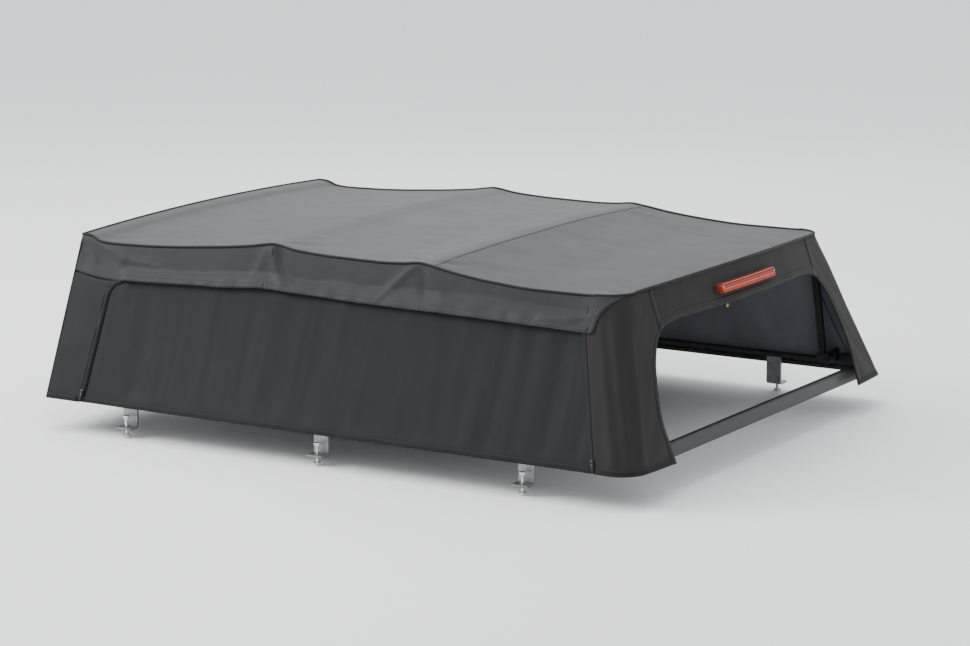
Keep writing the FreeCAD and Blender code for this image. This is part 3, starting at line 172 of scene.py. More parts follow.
class Plan:
    def __init__(self, height):
        self.half = HALF_BASE - LEAN * height
        bulge = 0.030 + 0.015 * height / REAR_EDGE
        self.radius = (self.half ** 2 + bulge ** 2) / (2 * bulge)
        self.middle = -BASE_REAR + REAR_LEAN * height - bulge + self.radius
        inner = self.radius - CORNER
        reach = self.half - CORNER
        self.corner_x = reach
        self.corner_y = self.middle - math.sqrt(inner ** 2 - reach ** 2)
        self.turn = math.atan2(self.middle - self.corner_y, reach)
        self.arc = CORNER * self.turn
        self.touch = self.radius * reach / inner

    def rear_y(self, x):
        return self.middle - math.sqrt(self.radius ** 2 - x * x)

    def at(self, reach):
        """Place and outward direction at a distance along the cloth. The distance is the place along
        the canopy on the straight side, and goes on round the corner and across the rear."""
        if reach >= self.corner_y:
            return self.half, reach, 1.0, 0.0
        past = self.corner_y - reach
        if past < self.arc:
            angle = past / CORNER
            x, y = math.cos(angle), -math.sin(angle)
            return self.corner_x + CORNER * x, self.corner_y + CORNER * y, x, y
        angle = math.asin(self.touch / self.radius) - (past - self.arc) / self.radius
        x, y = math.sin(angle), -math.cos(angle)
        return self.radius * x, self.middle + self.radius * y, x, y

    def reach_to(self, x):
        """Distance along the cloth at which the rear is at x."""
        span = math.asin(self.touch / self.radius) - math.asin(x / self.radius)
        return self.corner_y - self.arc - span * self.radius


def shell(side, reach, height, out=0.0):
    """Point of the cloth round the side and rear, out from its face."""
    plan = Plan(height)
    x, y, away_x, away_y = plan.at(reach)
    rise = LEAN * abs(away_x) + REAR_LEAN * abs(away_y)
    away = Vector((away_x, away_y, rise)).normalized()
    spot = Vector((x, y, SEAT + height)) + away * out
    return Vector((side * spot.x, spot.y, spot.z))


def tucked(spot, side, steep):
    """The same point, drawn in a hair under the cloth beside it. steep is 0 on the roof and 1 on a side."""
    return spot + Vector((-side * steep, 0, 0.6 * steep - 1)) * 0.00018


def front_face(x, height, out=0.0):
    return Vector((x, BASE_FRONT - FRONT_LEAN * height + out, SEAT + height))


def roof_height(x, y):
    """Height of the roof cloth, crowned across, with small pulls at the bows and sag between them."""
    edge = edge_height(y)
    half = HALF_BASE - LEAN * edge
    share = min(abs(x) / half, 1.0)
    crown = CROWN * (1 - share ** 2)
    inside = ease((1 - share) * 9) * ease((FRONT_TOP - y) / 0.05) * ease((y - REAR_TOP + 0.04) / 0.06)
    waves = 0.0016 * ripple(x, y * 0.5, 0, 5.5, 3.1) + 0.0007 * ripple(x * 1.0, y * 0.35, 0, 19.0, 8.4)
    pulls = 0.0
    for bow, span in ((BOW_2, 0.13), (BOW_3, 0.11), (0.873, 0.15), (REAR_TOP, 0.12)):
        away = abs(y - bow)
        if away < span:
            corner = math.exp(-((half - abs(x)) / 0.10) ** 2)
            pulls += 0.0022 * corner * math.sin(70 * (half - abs(x)) / (0.35 + away * 9)) * (away / span) \
                * (1 - away / span) * 4
    return SEAT + edge + crown + inside * (waves + pulls)


def flap_out(place, height, edge, hem):
    """How far the flap stands out of the leaning side: drawn in to its crease, then kicked out. At the
    front end it lies flush with the strip below it."""
    crease = crease_height(place)
    settled = ease((-0.60 - place) / 0.11)
    flush = ease((place - 0.725) / 0.045)
    dip, kick = 0.0060 * (1 - 0.7 * settled) * (1 - flush), 0.0105 * (1 - 0.8 * settled) * (1 - flush)
    if height >= crease:
        t = max((edge - height) / (edge - crease), 0.0)
        out = -dip * t ** 1.3
    else:
        t = min((crease - height) / (crease - hem), 1.0)
        out = -dip + (dip + kick) * (1 - (1 - t) ** 1.4)
    free = ease((edge - height) / 0.10)
    out += fold_rise(place, height, FLAP_FOLDS) * ease((edge - height) / 0.012)
    scallops = 0.0016 * math.sin(place * 71 + 2.2 * math.sin(place * 13)) * ease((crease - height) / 0.04)
    out += free * (0.0026 * ripple(place, height * 0.5, 0, 9.0, 1.2) + scallops)
    out += 0.0007 * ripple(place, height * 1.4, 0, 34.0, 5.0) * ease((edge - height) / 0.03)
    out += 0.0005 * math.sin(place * 240 + 4 * math.sin(place * 37)) * ease((hem + 0.035 - height) / 0.03)
    return out * (1 - flush * ease((hem + 0.024 - height) / 0.022))


def flap_point(side, reach, height, edge, hem):
    return shell(side, reach, height, flap_out(reach, height, edge, hem))


# Making meshes.

def put(name, bm, body=None):
    mesh = bpy.data.meshes.new(name)
    bm.to_mesh(mesh)
    bm.free()
    mesh.shade_smooth()
    piece = bpy.data.objects.new(name, mesh)
    bpy.context.scene.collection.objects.link(piece)
    if body:
        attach(piece, body)
    return piece


def dress(piece, *finishes):
    piece.data.materials.clear()
    for finish in finishes:
        piece.data.materials.append(finish)
    return piece


def stations(cells):
    """Places along a cloth from a list of (start, end, number of cells)."""
    places = [cells[0][0]]
    for start, end, count in cells:
        places += [start + (end - start) * (i + 1) / count for i in range(count)]
    return places


cut_sizes = {}


def upward(spot):
    return Vector((0, 0, 1))


def forward(spot):
    return Vector((0, 1, 0))


def rearward(spot):
    return Vector((0, -1, 0.3))


def sideways(side):
    return lambda spot: Vector((side, 0, 0.4))


def outward_rear(side):
    return lambda spot: Vector((side * 0.6, -0.8, 0.2))


def path_length(points):
    return sum((b - a).length for a, b in zip(points, points[1:]))


def lay_cloth(name, across, along, shape, flat, outward):
    """A sheet laid as a grid and put in shape: across and along are the grid's own places, flat gives
    the pattern's coordinates in metres, and outward says which way its face looks."""
    cut_sizes[name] = (max(path_length([shape(u, v) for u in across]) for v in along[::4] + along[-1:]),
                       max(path_length([shape(u, v) for v in along]) for u in across[::4] + across[-1:]))
    bm = bmesh.new()
    uv = bm.loops.layers.uv.new("cut")
    columns, rows = len(across) - 1, len(along) - 1
    bmesh.ops.create_grid(bm, x_segments=columns, y_segments=rows, size=0.5)
    cut = {}
    for vert in bm.verts:
        u = across[round((vert.co.x + 0.5) * columns)]
        v = along[round((vert.co.y + 0.5) * rows)]
        vert.co = shape(u, v)
        cut[vert] = flat(u, v)
    for face in bm.faces:
        for loop in face.loops:
            loop[uv].uv = cut[loop.vert]
    bm.normal_update()
    facing = sum(face.normal.dot(outward(face.calc_center_median())) * face.calc_area() for face in bm.faces)
    if facing < 0:
        bmesh.ops.reverse_faces(bm, faces=bm.faces)
    return put(name, bm)


def back_with_lining(piece, thickness=CLOTH, lining=True):
    solid = piece.modifiers.new("cloth", "SOLIDIFY")
    solid.thickness = thickness
    solid.offset = -1
    solid.use_even_offset = False
    if lining:
        solid.material_offset = 1
    return piece


def lined(piece, finish):
    """A sheet in its cloth outside and its lining inside."""
    return back_with_lining(dress(piece, finish, inner_lining))


def overlay(name, surface, along, across, finish, facing, thickness):
    """A band sewn on a surface. along and across are its places on it, and facing the way it looks."""
    run, width = along[-1] - along[0], across[-1] - across[0]
    middle = (along[0] + along[-1]) / 2
    wide = (surface(middle, across[-1]) - surface(middle, across[0])).length
    long = path_length([surface(u, (across[0] + across[-1]) / 2) for u in along])

    def shape(u, v):
        ahead = surface(u + run * 0.001, v) - surface(u - run * 0.001, v)
        aside = surface(u, v + width * 0.02) - surface(u, v - width * 0.02)
        away = ahead.cross(aside).normalized()
        spot = surface(u, v)
        return spot + away * (thickness if away.dot(facing(spot)) > 0 else -thickness)

    def flat(u, v):
        return ((v - across[0]) / width - 0.5) * wide, (u - along[0]) / run * long

    piece = dress(lay_cloth(name, along, across, shape, flat, facing), finish)
    return back_with_lining(piece, thickness, False)


def tube(name, points, radius, sides=10, closed=False):
    """A cord or binding along a path of points."""
    curve = bpy.data.curves.new(name, "CURVE")
    curve.dimensions = "3D"
    curve.bevel_depth = radius
    curve.bevel_resolution = sides // 4
    curve.use_fill_caps = not closed
    spline = curve.splines.new("POLY")
    spline.points.add(len(points) - 1)
    for spot, point in zip(spline.points, points):
        spot.co = (*point, 1)
    spline.use_cyclic_u = closed
    carrier = bpy.data.objects.new(name + "_path", curve)
    bpy.context.scene.collection.objects.link(carrier)
    mesh = bpy.data.meshes.new_from_object(carrier)
    bpy.data.objects.remove(carrier)
    mesh.name = name
    mesh.shade_smooth()
    piece = bpy.data.objects.new(name, mesh)
    bpy.context.scene.collection.objects.link(piece)
    return piece


def ribbon(name, path, width, thickness, direction, rows=2, bulge=0.0):
    """A flat tape along a path. path gives points, direction the way its width runs at each of them."""
    count = len(path)
    sideways = [direction(i).normalized() for i in range(count)]
    ahead = [(path[min(i + 1, count - 1)] - path[max(i - 1, 0)]).normalized() for i in range(count)]
    lift = [a.cross(b).normalized() for a, b in zip(ahead, sideways)]
    length = [0.0]
    for a, b in zip(path, path[1:]):
        length.append(length[-1] + (b - a).length)

    def shape(u, v):
        i = int(v)
        return path[i] + sideways[i] * (u * width / 2) + lift[i] * bulge * (1 - u * u)

    piece = lay_cloth(name, stations([(-1, 1, rows)]), stations([(0, count - 1, count - 1)]), shape,
                      lambda u, v: (u * width / 2, length[int(v)]),
                      lambda spot: Vector((spot.x, spot.y * 0.6, 0.35)))
    solid = piece.modifiers.new("tape", "SOLIDIFY")
    solid.thickness = thickness
    solid.offset = 0
    return piece


def join(name, pieces):
    """One piece of several, its first one's materials kept in order."""
    bm = bmesh.new()
    finishes = []
    for piece in pieces:
        mesh = piece.data
        start = len(bm.faces)
        bm.from_mesh(mesh)
        bm.faces.ensure_lookup_table()
        for number, material in enumerate(mesh.materials):
            if material not in finishes:
                finishes.append(material)
        if mesh.materials:
            for face in bm.faces[start:]:
                face.material_index = finishes.index(mesh.materials[face.material_index])
        bpy.data.objects.remove(piece)
    joined = put(name, bm)
    return dress(joined, *finishes)


# Materials.

BAND = 0.014
STITCH_ROW = 0.0045


class Flow:
    """One output of a node, with arithmetic that adds Math nodes."""

    def __init__(self, finish, socket):
        self.finish = finish
        self.socket = socket

    def math(self, operation, first, second):
        return self.finish.node("ShaderNodeMath", {"operation": operation}, {0: first, 1: second})[0]

    def __add__(self, other):
        return self.math("ADD", self, other)

    def __radd__(self, other):
        return self.math("ADD", other, self)

    def __sub__(self, other):
        return self.math("SUBTRACT", self, other)

    def __rsub__(self, other):
        return self.math("SUBTRACT", other, self)

    def __mul__(self, other):
        return self.math("MULTIPLY", self, other)

    def __rmul__(self, other):
        return self.math("MULTIPLY", other, self)

    def __gt__(self, other):
        return self.math("GREATER_THAN", self, other)

    def __lt__(self, other):
        return self.math("LESS_THAN", self, other)

    def __mod__(self, other):
        return self.math("MODULO", self, other)

    def __abs__(self):
        return self.math("ABSOLUTE", self, 0.0)


class Finish:
    """A material in the making, on one Principled shader."""

    def __init__(self, name, **fixed):
        self.material = bpy.data.materials.new(name)
        self.material.use_nodes = True
        self.tree = self.material.node_tree
        self.shader = self.tree.nodes["Principled BSDF"]
        for socket, value in fixed.items():
            self.shader.inputs[socket.replace("_", " ")].default_value = value

    def node(self, kind, settings=None, values=None):
        node = self.tree.nodes.new(kind)
        for name, value in (settings or {}).items():
            setattr(node, name, value)
        for name, value in (values or {}).items():
            if isinstance(value, Flow):
                self.tree.links.new(value.socket, node.inputs[name])
            else:
                node.inputs[name].default_value = value
        return {key: Flow(self, output) for number, output in enumerate(node.outputs)
                for key in (number, output.name)}

    def link(self, **flows):
        for name, flow in flows.items():
            self.tree.links.new(flow.socket, self.shader.inputs[name.replace("_", " ")])
        return self

    def place(self):
        return self.node("ShaderNodeTexCoord")["Object"]

    def cut(self):
        return self.node("ShaderNodeUVMap", {"uv_map": "cut"})["UV"]

    def stretch(self, vector, scale):
        return self.node("ShaderNodeMapping", None, {"Vector": vector, "Scale": scale})["Vector"]

    def grain(self, vector, scale, detail=3.0, roughness=0.5):
        return self.node("ShaderNodeTexNoise", None, {
            "Vector": vector, "Scale": scale, "Detail": detail, "Roughness": roughness})["Fac"]

    def between(self, share, first, second):
        self.node("ShaderNodeMix", {"data_type": "RGBA"}, {0: share})
        mix = self.tree.nodes[-1]
        for number, colour in ((6, first), (7, second)):
            if isinstance(colour, Flow):
                self.tree.links.new(colour.socket, mix.inputs[number])
            else:
                mix.inputs[number].default_value = (*colour, 1)
        return Flow(self, mix.outputs[2])

    def remap(self, flow, low, high, new_low, new_high):
        ends = {"From Min": low, "From Max": high, "To Min": new_low, "To Max": new_high}
        return self.node("ShaderNodeMapRange", None, {"Value": flow, **ends})["Result"]

    def bump(self, height, distance, strength=1.0, under=None):
        values = {"Height": height, "Distance": distance, "Strength": strength}
        if under is not None:
            values["Normal"] = under
        return self.node("ShaderNodeBump", None, values)["Normal"]


def canvas(name, colour, worn, roughness, streaks=0.5):
    """Coated woven cloth: fine twill, soft creases, dust that pales it a little. Its colour and worn tones
    are given per panel, lighter or darker as painted light and shade.
    """
    cloth = Finish(name, Specular_IOR_Level=0.16, Sheen_Weight=0.04, Sheen_Roughness=0.45)
    cut, place = cloth.cut(), cloth.place()
    twill = cloth.node("ShaderNodeTexWave", {"wave_type": "BANDS", "bands_direction": "DIAGONAL"}, {
        "Vector": cut, "Scale": 260.0, "Distortion": 0.6, "Detail": 1.0, "Detail Scale": 1.5})["Fac"]
    thread = cloth.grain(cut, 900.0, 2.0)
    slub = cloth.grain(cloth.stretch(cut, (1.0, 9.0, 1.0)), 130.0, 2.0)
    creases = cloth.grain(cloth.stretch(place, (1.0, 0.6, 1.5)), 13.0, 3.0, 0.45)
    broad = cloth.grain(place, 2.4, 2.0)
    dust = cloth.grain(cloth.stretch(place, (1.0, 1.0, 0.16)), 17.0, 3.0, 0.5)
    mottle = broad * 0.45 + dust * streaks * 0.5 + thread * 0.22 + slub * 0.16
    tone = cloth.remap(mottle, 0.35, 0.95, 0.0, 1.0)
    shine = cloth.remap(creases * 0.4 + thread * 0.6, 0.3, 0.7, roughness - 0.05, roughness + 0.06)
    normal = cloth.bump(twill * 0.5 + thread * 0.6 + slub * 0.3, 0.00022, 0.55)
    normal = cloth.bump(creases, 0.0016, 0.16, normal)
    cloth.link(Base_Color=cloth.between(tone, colour, worn), Roughness=shine, Normal=normal)
    return cloth.material


def sewn(name, colour, thread_colour):
    """A band of cloth with two rows of stitches. Its pattern counts metres across and along."""
    band = Finish(name, Specular_IOR_Level=0.16, Sheen_Weight=0.04, Sheen_Roughness=0.45)
    cut, place = band.cut(), band.place()
    parts = band.node("ShaderNodeSeparateXYZ", None, {0: cut})
    row = abs(abs(parts[0]) - STITCH_ROW) < 0.0006
    stitch = row * ((parts[1] * 250.0) % 1.0 < 0.68)
    pucker = band.grain(band.stretch(cut, (0.6, 1.0, 1.0)), 160.0, 2.0)
    thread = band.grain(cut, 900.0, 2.0)
    tone = band.remap(band.grain(place, 9.0, 3.0) * 0.6 + thread * 0.4, 0.3, 0.7, 0.0, 1.0)
    cloth = band.between(tone, colour, tuple(c * 1.35 for c in colour))
    normal = band.bump(thread * 0.5 + pucker * 0.8, 0.0006, 0.4)
    normal = band.bump(stitch - row * 0.5, 0.0005, 0.8, normal)
    band.link(Base_Color=band.between(stitch, cloth, thread_colour),
              Roughness=band.remap(thread, 0.3, 0.7, 0.55, 0.68), Normal=normal)
    return band.material


def lining(name, colour, paler):
    cloth = Finish(name, Specular_IOR_Level=0.25, Sheen_Weight=0.2, Sheen_Roughness=0.6)
    cut, place = cloth.cut(), cloth.place()
    weave = cloth.node("ShaderNodeTexWave", {"wave_type": "BANDS", "bands_direction": "X"}, {
        "Vector": cut, "Scale": 300.0, "Distortion": 0.4, "Detail": 1.0})["Fac"]
    fleece = cloth.grain(cut, 520.0, 3.0)
    broad = cloth.grain(cloth.stretch(place, (1.0, 1.0, 0.3)), 7.0, 4.0)
    tone = cloth.remap(broad + fleece * 0.25, 0.4, 0.85, 0.0, 1.0)
    cloth.link(Base_Color=cloth.between(tone, colour, paler),
               Roughness=cloth.remap(fleece, 0.3, 0.7, 0.72, 0.9),
               Normal=cloth.bump(weave * 0.5 + fleece, 0.00025, 0.5))
    return cloth.material


def vinyl(name, colour, roughness):
    skin = Finish(name, Specular_IOR_Level=0.22)
    place = skin.place()
    pebble = skin.grain(place, 700.0, 2.0)
    handled = skin.grain(place, 24.0, 4.0)
    skin.link(Base_Color=skin.between(handled, colour, tuple(c * 1.7 + 0.004 for c in colour)),
              Roughness=skin.remap(handled, 0.3, 0.7, roughness - 0.06, roughness + 0.1),
              Normal=skin.bump(pebble, 0.00015, 0.5))
    return skin.material


def webbing(name, colour):
    strap = Finish(name, Specular_IOR_Level=0.16, Sheen_Weight=0.05)
    cut = strap.cut()
    ribs = strap.node("ShaderNodeTexWave", {"wave_type": "BANDS", "bands_direction": "Y"}, {
        "Vector": cut, "Scale": 190.0, "Distortion": 0.3})["Fac"]
    cords = strap.node("ShaderNodeTexWave", {"wave_type": "BANDS", "bands_direction": "X"}, {
        "Vector": cut, "Scale": 120.0, "Distortion": 0.2})["Fac"]
    fuzz = strap.grain(cut, 400.0)
    strap.link(Base_Color=strap.between(fuzz, colour, tuple(c * 2.0 + 0.006 for c in colour)),
               Roughness=strap.remap(fuzz, 0.3, 0.7, 0.62, 0.8),
               Normal=strap.bump(ribs * 0.7 + cords * 0.5, 0.0004, 0.7))
    return strap.material


def metal(name, colour, roughness, scale=60.0, brushed=None, metallic=1.0, bump=0.00008, pits=500.0):
    """Bare or plated metal: fine grain, drawn along `brushed` where given, and handling marks."""
    bare = Finish(name, Metallic=metallic)
    place = bare.place()
    drawn = bare.stretch(place, brushed or (1.0, 1.0, 1.0))
    grain = bare.grain(drawn, pits, 3.0)
    marks = bare.grain(place, scale, 5.0, 0.6)
    dull = tuple(c * 0.72 for c in colour)
    bare.link(Base_Color=bare.between(bare.remap(marks, 0.35, 0.7, 0.0, 1.0), colour, dull),
              Roughness=bare.remap(marks * 0.6 + grain * 0.4, 0.3, 0.7, roughness - 0.07, roughness + 0.1),
              Normal=bare.bump(grain, bump, 0.6))
    return bare.material


def powder(name, colour, roughness, worn=(0.09, 0.09, 0.095)):
    """Powder coat: orange peel, with paler rubbed places."""
    coat = Finish(name, Specular_IOR_Level=0.30, Coat_Weight=0.04, Coat_Roughness=0.35)
    place = coat.place()
    peel = coat.grain(place, 420.0, 2.0)
    rubbed = coat.remap(coat.grain(place, 38.0, 6.0, 0.65), 0.60, 0.74, 0.0, 1.0)
    coat.link(Base_Color=coat.between(rubbed, colour, worn),
              Roughness=coat.remap(peel + rubbed * 0.3, 0.3, 0.9, roughness - 0.05, roughness + 0.12),
              Normal=coat.bump(peel, 0.00018, 0.5))
    return coat.material


def moulded(name, colour, roughness):
    plastic = Finish(name, Specular_IOR_Level=0.28)
    place = plastic.place()
    texture = plastic.grain(place, 950.0, 2.0)
    cloud = plastic.grain(place, 30.0, 4.0)
    plastic.link(Base_Color=plastic.between(cloud, colour, tuple(c * 1.6 + 0.003 for c in colour)),
                 Roughness=plastic.remap(cloud, 0.3, 0.7, roughness - 0.05, roughness + 0.08),
                 Normal=plastic.bump(texture, 0.00012, 0.6))
    return plastic.material


def foam(name):
    rubber = Finish(name, Specular_IOR_Level=0.2)
    place = rubber.place()
    cells = rubber.node("ShaderNodeTexVoronoi", None, {"Vector": place, "Scale": 900.0})["Distance"]
    cloud = rubber.grain(place, 60.0, 4.0)
    rubber.link(Base_Color=rubber.between(cloud, (0.010, 0.010, 0.011), (0.026, 0.026, 0.027)),
                Roughness=rubber.remap(cells, 0.0, 0.6, 0.95, 0.82),
                Normal=rubber.bump(cells, 0.0005, 0.7))
    return rubber.material


def clear_sheet(name):
    """Smoked clear vinyl: mostly see-through, a little hazy and rippled."""
    sheet = Finish(name, Base_Color=(0.05, 0.055, 0.06, 1), Specular_IOR_Level=0.5)
    place = sheet.place()
    haze = sheet.grain(place, 9.0, 3.0)
    sheet.link(Alpha=sheet.remap(haze, 0.3, 0.7, 0.34, 0.50),
               Roughness=sheet.remap(haze, 0.3, 0.7, 0.08, 0.2),
               Normal=sheet.bump(haze, 0.004, 0.35))
    return sheet.material


def red_lens(name):
    """Red moulded lens: prisms inside, a glossy face, paler in bands across its prisms where the light
    gathers.
    """
    lens = Finish(name, Specular_IOR_Level=0.25, Coat_Weight=0.05, Coat_Roughness=0.15)
    place = lens.place()
    flutes = lens.node("ShaderNodeTexWave", {"wave_type": "BANDS", "bands_direction": "X"}, {
        "Vector": place, "Scale": 75.0})["Fac"]
    cloud = lens.grain(place, 40.0, 3.0)
    colour = lens.between(flutes * 0.35 + cloud * 0.4, (0.27, 0.022, 0.009), (0.40, 0.044, 0.019))
    lens.link(Base_Color=colour, Roughness=lens.remap(cloud, 0.3, 0.7, 0.26, 0.36),
              Normal=lens.bump(flutes, 0.0004, 0.35))
    return lens.material


def plain_floor(name):
    ground = Finish(name, Specular_IOR_Level=0.2)
    place = ground.place()
    paint, paler = (0.90, 0.90, 0.897), (0.92, 0.92, 0.917)
    ground.link(Base_Color=ground.between(ground.grain(place, 1.2, 3.0), paint, paler),
                Roughness=ground.remap(ground.grain(place, 14.0, 4.0), 0.3, 0.7, 0.6, 0.72))
    return ground.material


# One cloth in six tones, one for each panel. The roof's tone is lighter as painted light from above. The
# tones of the roof behind bow 3, the flaps, front strips, sides and rear are darker as painted shade.
roof_cloth_painted_light = canvas("roof_cloth_painted_light", (0.055, 0.055, 0.056), (0.075, 0.075, 0.076), 0.54, 0.35)
roof_rear_cloth = canvas("roof_rear_cloth", (0.037, 0.037, 0.0374), (0.052, 0.052, 0.0524), 0.56, 0.35)
flap_cloth_painted_shade = canvas("flap_cloth_painted_shade", (0.0235, 0.0235, 0.0243), (0.034, 0.034, 0.035), 0.56, 0.6)
strip_cloth_painted_shade = canvas("strip_cloth_painted_shade", (0.0100, 0.0100, 0.0104), (0.0165, 0.0165, 0.0171), 0.60, 0.6)
side_cloth_painted_shade = canvas("side_cloth_painted_shade", (0.0082, 0.0082, 0.0091), (0.0138, 0.0138, 0.0152), 0.60, 1.0)
rear_cloth = canvas("rear_cloth", (0.0130, 0.0117, 0.0113), (0.0200, 0.0182, 0.0176), 0.58, 0.8)
# The roof, flap and rear bands take the tone of the panel they are sewn on, with that panel's painted light
# or shade.
roof_band_painted_light = sewn("roof_band_painted_light", (0.044, 0.044, 0.045), (0.070, 0.070, 0.071))
flap_band_painted_shade = sewn("flap_band_painted_shade", (0.0235, 0.0235, 0.0243), (0.048, 0.048, 0.049))
rear_band_painted_shade = sewn("rear_band_painted_shade", (0.0135, 0.0122, 0.0118), (0.036, 0.034, 0.033))
black_band = sewn("black_band", (0.006, 0.006, 0.0064), (0.022, 0.022, 0.023))
inner_lining = lining("inner_lining", (0.082, 0.088, 0.102), (0.140, 0.148, 0.168))
binding_vinyl = vinyl("binding_vinyl", (0.007, 0.007, 0.0075), 0.52)
zip_black = moulded("zip_black", (0.005, 0.005, 0.0055), 0.60)
tape_black = webbing("tape_black", (0.005, 0.005, 0.0055))
strap_webbing = webbing("strap_webbing", (0.016, 0.016, 0.017))
brass = metal("brass", (0.50, 0.33, 0.12), 0.34)
slider_metal = powder("slider_metal", (0.014, 0.014, 0.015), 0.32)
# The lamp's rim is real, but its pale red is a painted highlight standing for the light along it.
rim_red_painted_highlight = moulded("rim_red_painted_highlight", (0.40, 0.13, 0.085), 0.34)
coated_steel = powder("coated_steel", (0.012, 0.012, 0.013), 0.42)
rail_metal = metal("rail_metal", (0.060, 0.060, 0.063), 0.42, 40.0, (1.0, 0.04, 1.0))
sill_metal = powder("sill_metal", (0.017, 0.0165, 0.016), 0.40, (0.040, 0.039, 0.038))
zinc = metal("zinc", (0.62, 0.62, 0.60), 0.34, 90.0)
cast_metal = metal("cast_metal", (0.34, 0.34, 0.345), 0.50, 50.0, None, 1.0, 0.0003, 300.0)
foam_rubber = foam("foam_rubber")
black_plastic = moulded("black_plastic", (0.013, 0.013, 0.014), 0.48)
lamp_plastic = moulded("lamp_plastic", (0.11, 0.016, 0.011), 0.38)
lens_red = red_lens("lens_red")
clear_vinyl = clear_sheet("clear_vinyl")

SLOT_FINISH = {
    "canopy_cloth": side_cloth_painted_shade, "rail_aluminium": rail_metal, "sill_coating": sill_metal,
    "black_powder_coat": coated_steel, "zinc_steel": zinc, "clamp_casting": cast_metal,
    "foam_rubber": foam_rubber, "black_plastic": black_plastic, "clear_vinyl": clear_vinyl,
    "red_lens": lens_red, "lamp_plastic": lamp_plastic,
}


def finish_cad_nodes():
    """Give every CAD node the finish of its material slot."""
    for part in frame["record"]["subparts"]:
        dress(frame["nodes"][part["node"]], SLOT_FINISH[part["material_slot"]])


# Roof and side flaps.

ROUND = 0.007
ROOF_CUT, FLAP_CUT = 0.571, 0.105


def roof_point(u, y):
    """u runs across the roof: 0 the middle, 1 its edge, 1 to 2 down the flap."""
    side = -1 if u < 0 else 1
    share = abs(u)
    edge = edge_height(y)
    half = HALF_BASE - LEAN * edge
    hem = hem_height(y)
    turn = ROUND / half
    drop = ROUND / (edge - hem)
    if share <= 1 - turn:
        return Vector((side * share * half, y, roof_height(side * share * half, y)))
    if share >= 1 + drop:
        height = edge - (share - 1) * (edge - hem)
        return flap_point(side, y, height, edge, hem)
    start = Vector((side * (half - ROUND), y, roof_height(half - ROUND, y)))
    end = flap_point(side, y, edge - ROUND, edge, hem)
    corner = Vector((side * half, y, SEAT + edge + 0.0004))
    t = (share - (1 - turn)) / (turn + drop)
    return start * (1 - t) ** 2 + corner * 2 * t * (1 - t) + end * t * t


def roof_columns():
    turn, drop = ROUND / ROOF_CUT, ROUND / FLAP_CUT
    right = stations([(0, 1 - turn, 62), (1 - turn, 1 + drop, 5), (1 + drop, 2, 18)])
    return [-u for u in reversed(right)] + right[1:]


TUCK = 0.004


def make_roof(label, front, rear, cells, tuck_front=False):
    """One stretch of roof. Where it meets the next, a last row runs on under it, so no edge shows."""
    def shape(u, y):
        spot = roof_point(u, y)
        if rear <= y <= front:
            return spot
        return tucked(spot, math.copysign(1, u), ease((abs(u) - 0.98) / 0.04))

    def flat(u, y):
        return (u * ROOF_CUT if abs(u) <= 1 else math.copysign(ROOF_CUT + (abs(u) - 1) * FLAP_CUT, u), y)

    along = [front + TUCK] * tuck_front + stations([(front, rear, cells)]) + [rear - TUCK]
    piece = lay_cloth(f"{label}_sheet", roof_columns(), along, shape, flat,
                      lambda spot: Vector((spot.x, 0, 0.5)))
    # The roof part takes the lighter tone of painted light, and the flap part below its edge takes the darker
    # tone of painted shade.
    dress(piece, roof_cloth_painted_light, inner_lining, flap_cloth_painted_shade, inner_lining)
    cut = piece.data.uv_layers["cut"].data
    for face in piece.data.polygons:
        if min(abs(cut[corner].uv.x) for corner in face.loop_indices) > ROOF_CUT - ROUND:
            face.material_index = 2
    return back_with_lining(piece)


def make_roof_rear():
    """Rear roof, cut to the bowed plan of the rear, its corners rounded."""
    def shape(u, v):
        edge = edge_height(-0.70)
        plan = Plan(edge)
        share = abs(u)
        x = share * plan.half
        if x > plan.touch:
            within = (x - plan.corner_x) / CORNER
            back = plan.corner_y - CORNER * math.sqrt(max(0.0, 1 - within * within))
        else:
            back = plan.rear_y(x)
        y = ROOF_SEAM + (back - ROOF_SEAM) * v
        half = HALF_BASE - LEAN * edge_height(y)
        x = math.copysign(share * half, u)
        z = roof_height(x, y)
        near = ease(1 - min((half - abs(x)) / ROUND, (y - back) / ROUND))
        return Vector((x, y, z - 0.0025 * near))

    right = [math.sin(0.5 * math.pi * i / 70) for i in range(71)]
    across = [-u for u in reversed(right)] + right[1:]
    piece = lay_cloth("roof_rear_sheet", across, stations([(0, 0.94, 58), (0.94, 1, 6)]), shape,
                      lambda u, v: (u * 0.57, v * 0.6), upward)
    return lined(piece, roof_rear_cloth)


REAR_CUT = smooth_line([(0.318, -0.700), (0.3225, -0.708), (0.330, -0.7155), (0.340, -0.718),
                        (0.356, -0.7205), (0.380, -0.732), (0.394, -0.747), (0.404, -0.763),
                        (0.4155, -0.799)])


def rear_flap_point(side, t, v):
    """Point of the rear side flap: t runs from the seam to its rear edge, v from the roof to its hem."""
    top = edge_height(ROOF_SEAM)
    height = top - v * (top - hem_height(ROOF_SEAM))
    for _ in range(2):
        reach = ROOF_SEAM + (REAR_CUT(min(height, 0.4155)) - ROOF_SEAM) * t
        edge, hem = edge_height(reach) - 0.0012, hem_height(reach)
        height = edge - v * (edge - hem)
    lap = 0.0030 * ease((-0.66 - reach) / 0.06)
    spot = flap_point(side, reach, height, edge + 0.0012, hem) + Vector((side, 0, LEAN)).normalized() * lap
    return tucked(spot, side, 1.0) if t < 0 else spot


def make_rear_flap(label, side):
    """Rear side flap, its rear edge cut in a curve from the hem up round the roof's corner."""
    piece = lay_cloth(label, [-TUCK * 2] + stations([(0, 1, 72)]), stations([(0, 1, 24)]),
                      lambda t, v: rear_flap_point(side, t, v),
                      lambda t, v: (t * 0.52, v * 0.105), sideways(side))
    return lined(piece, flap_cloth_painted_shade)


# Sides.

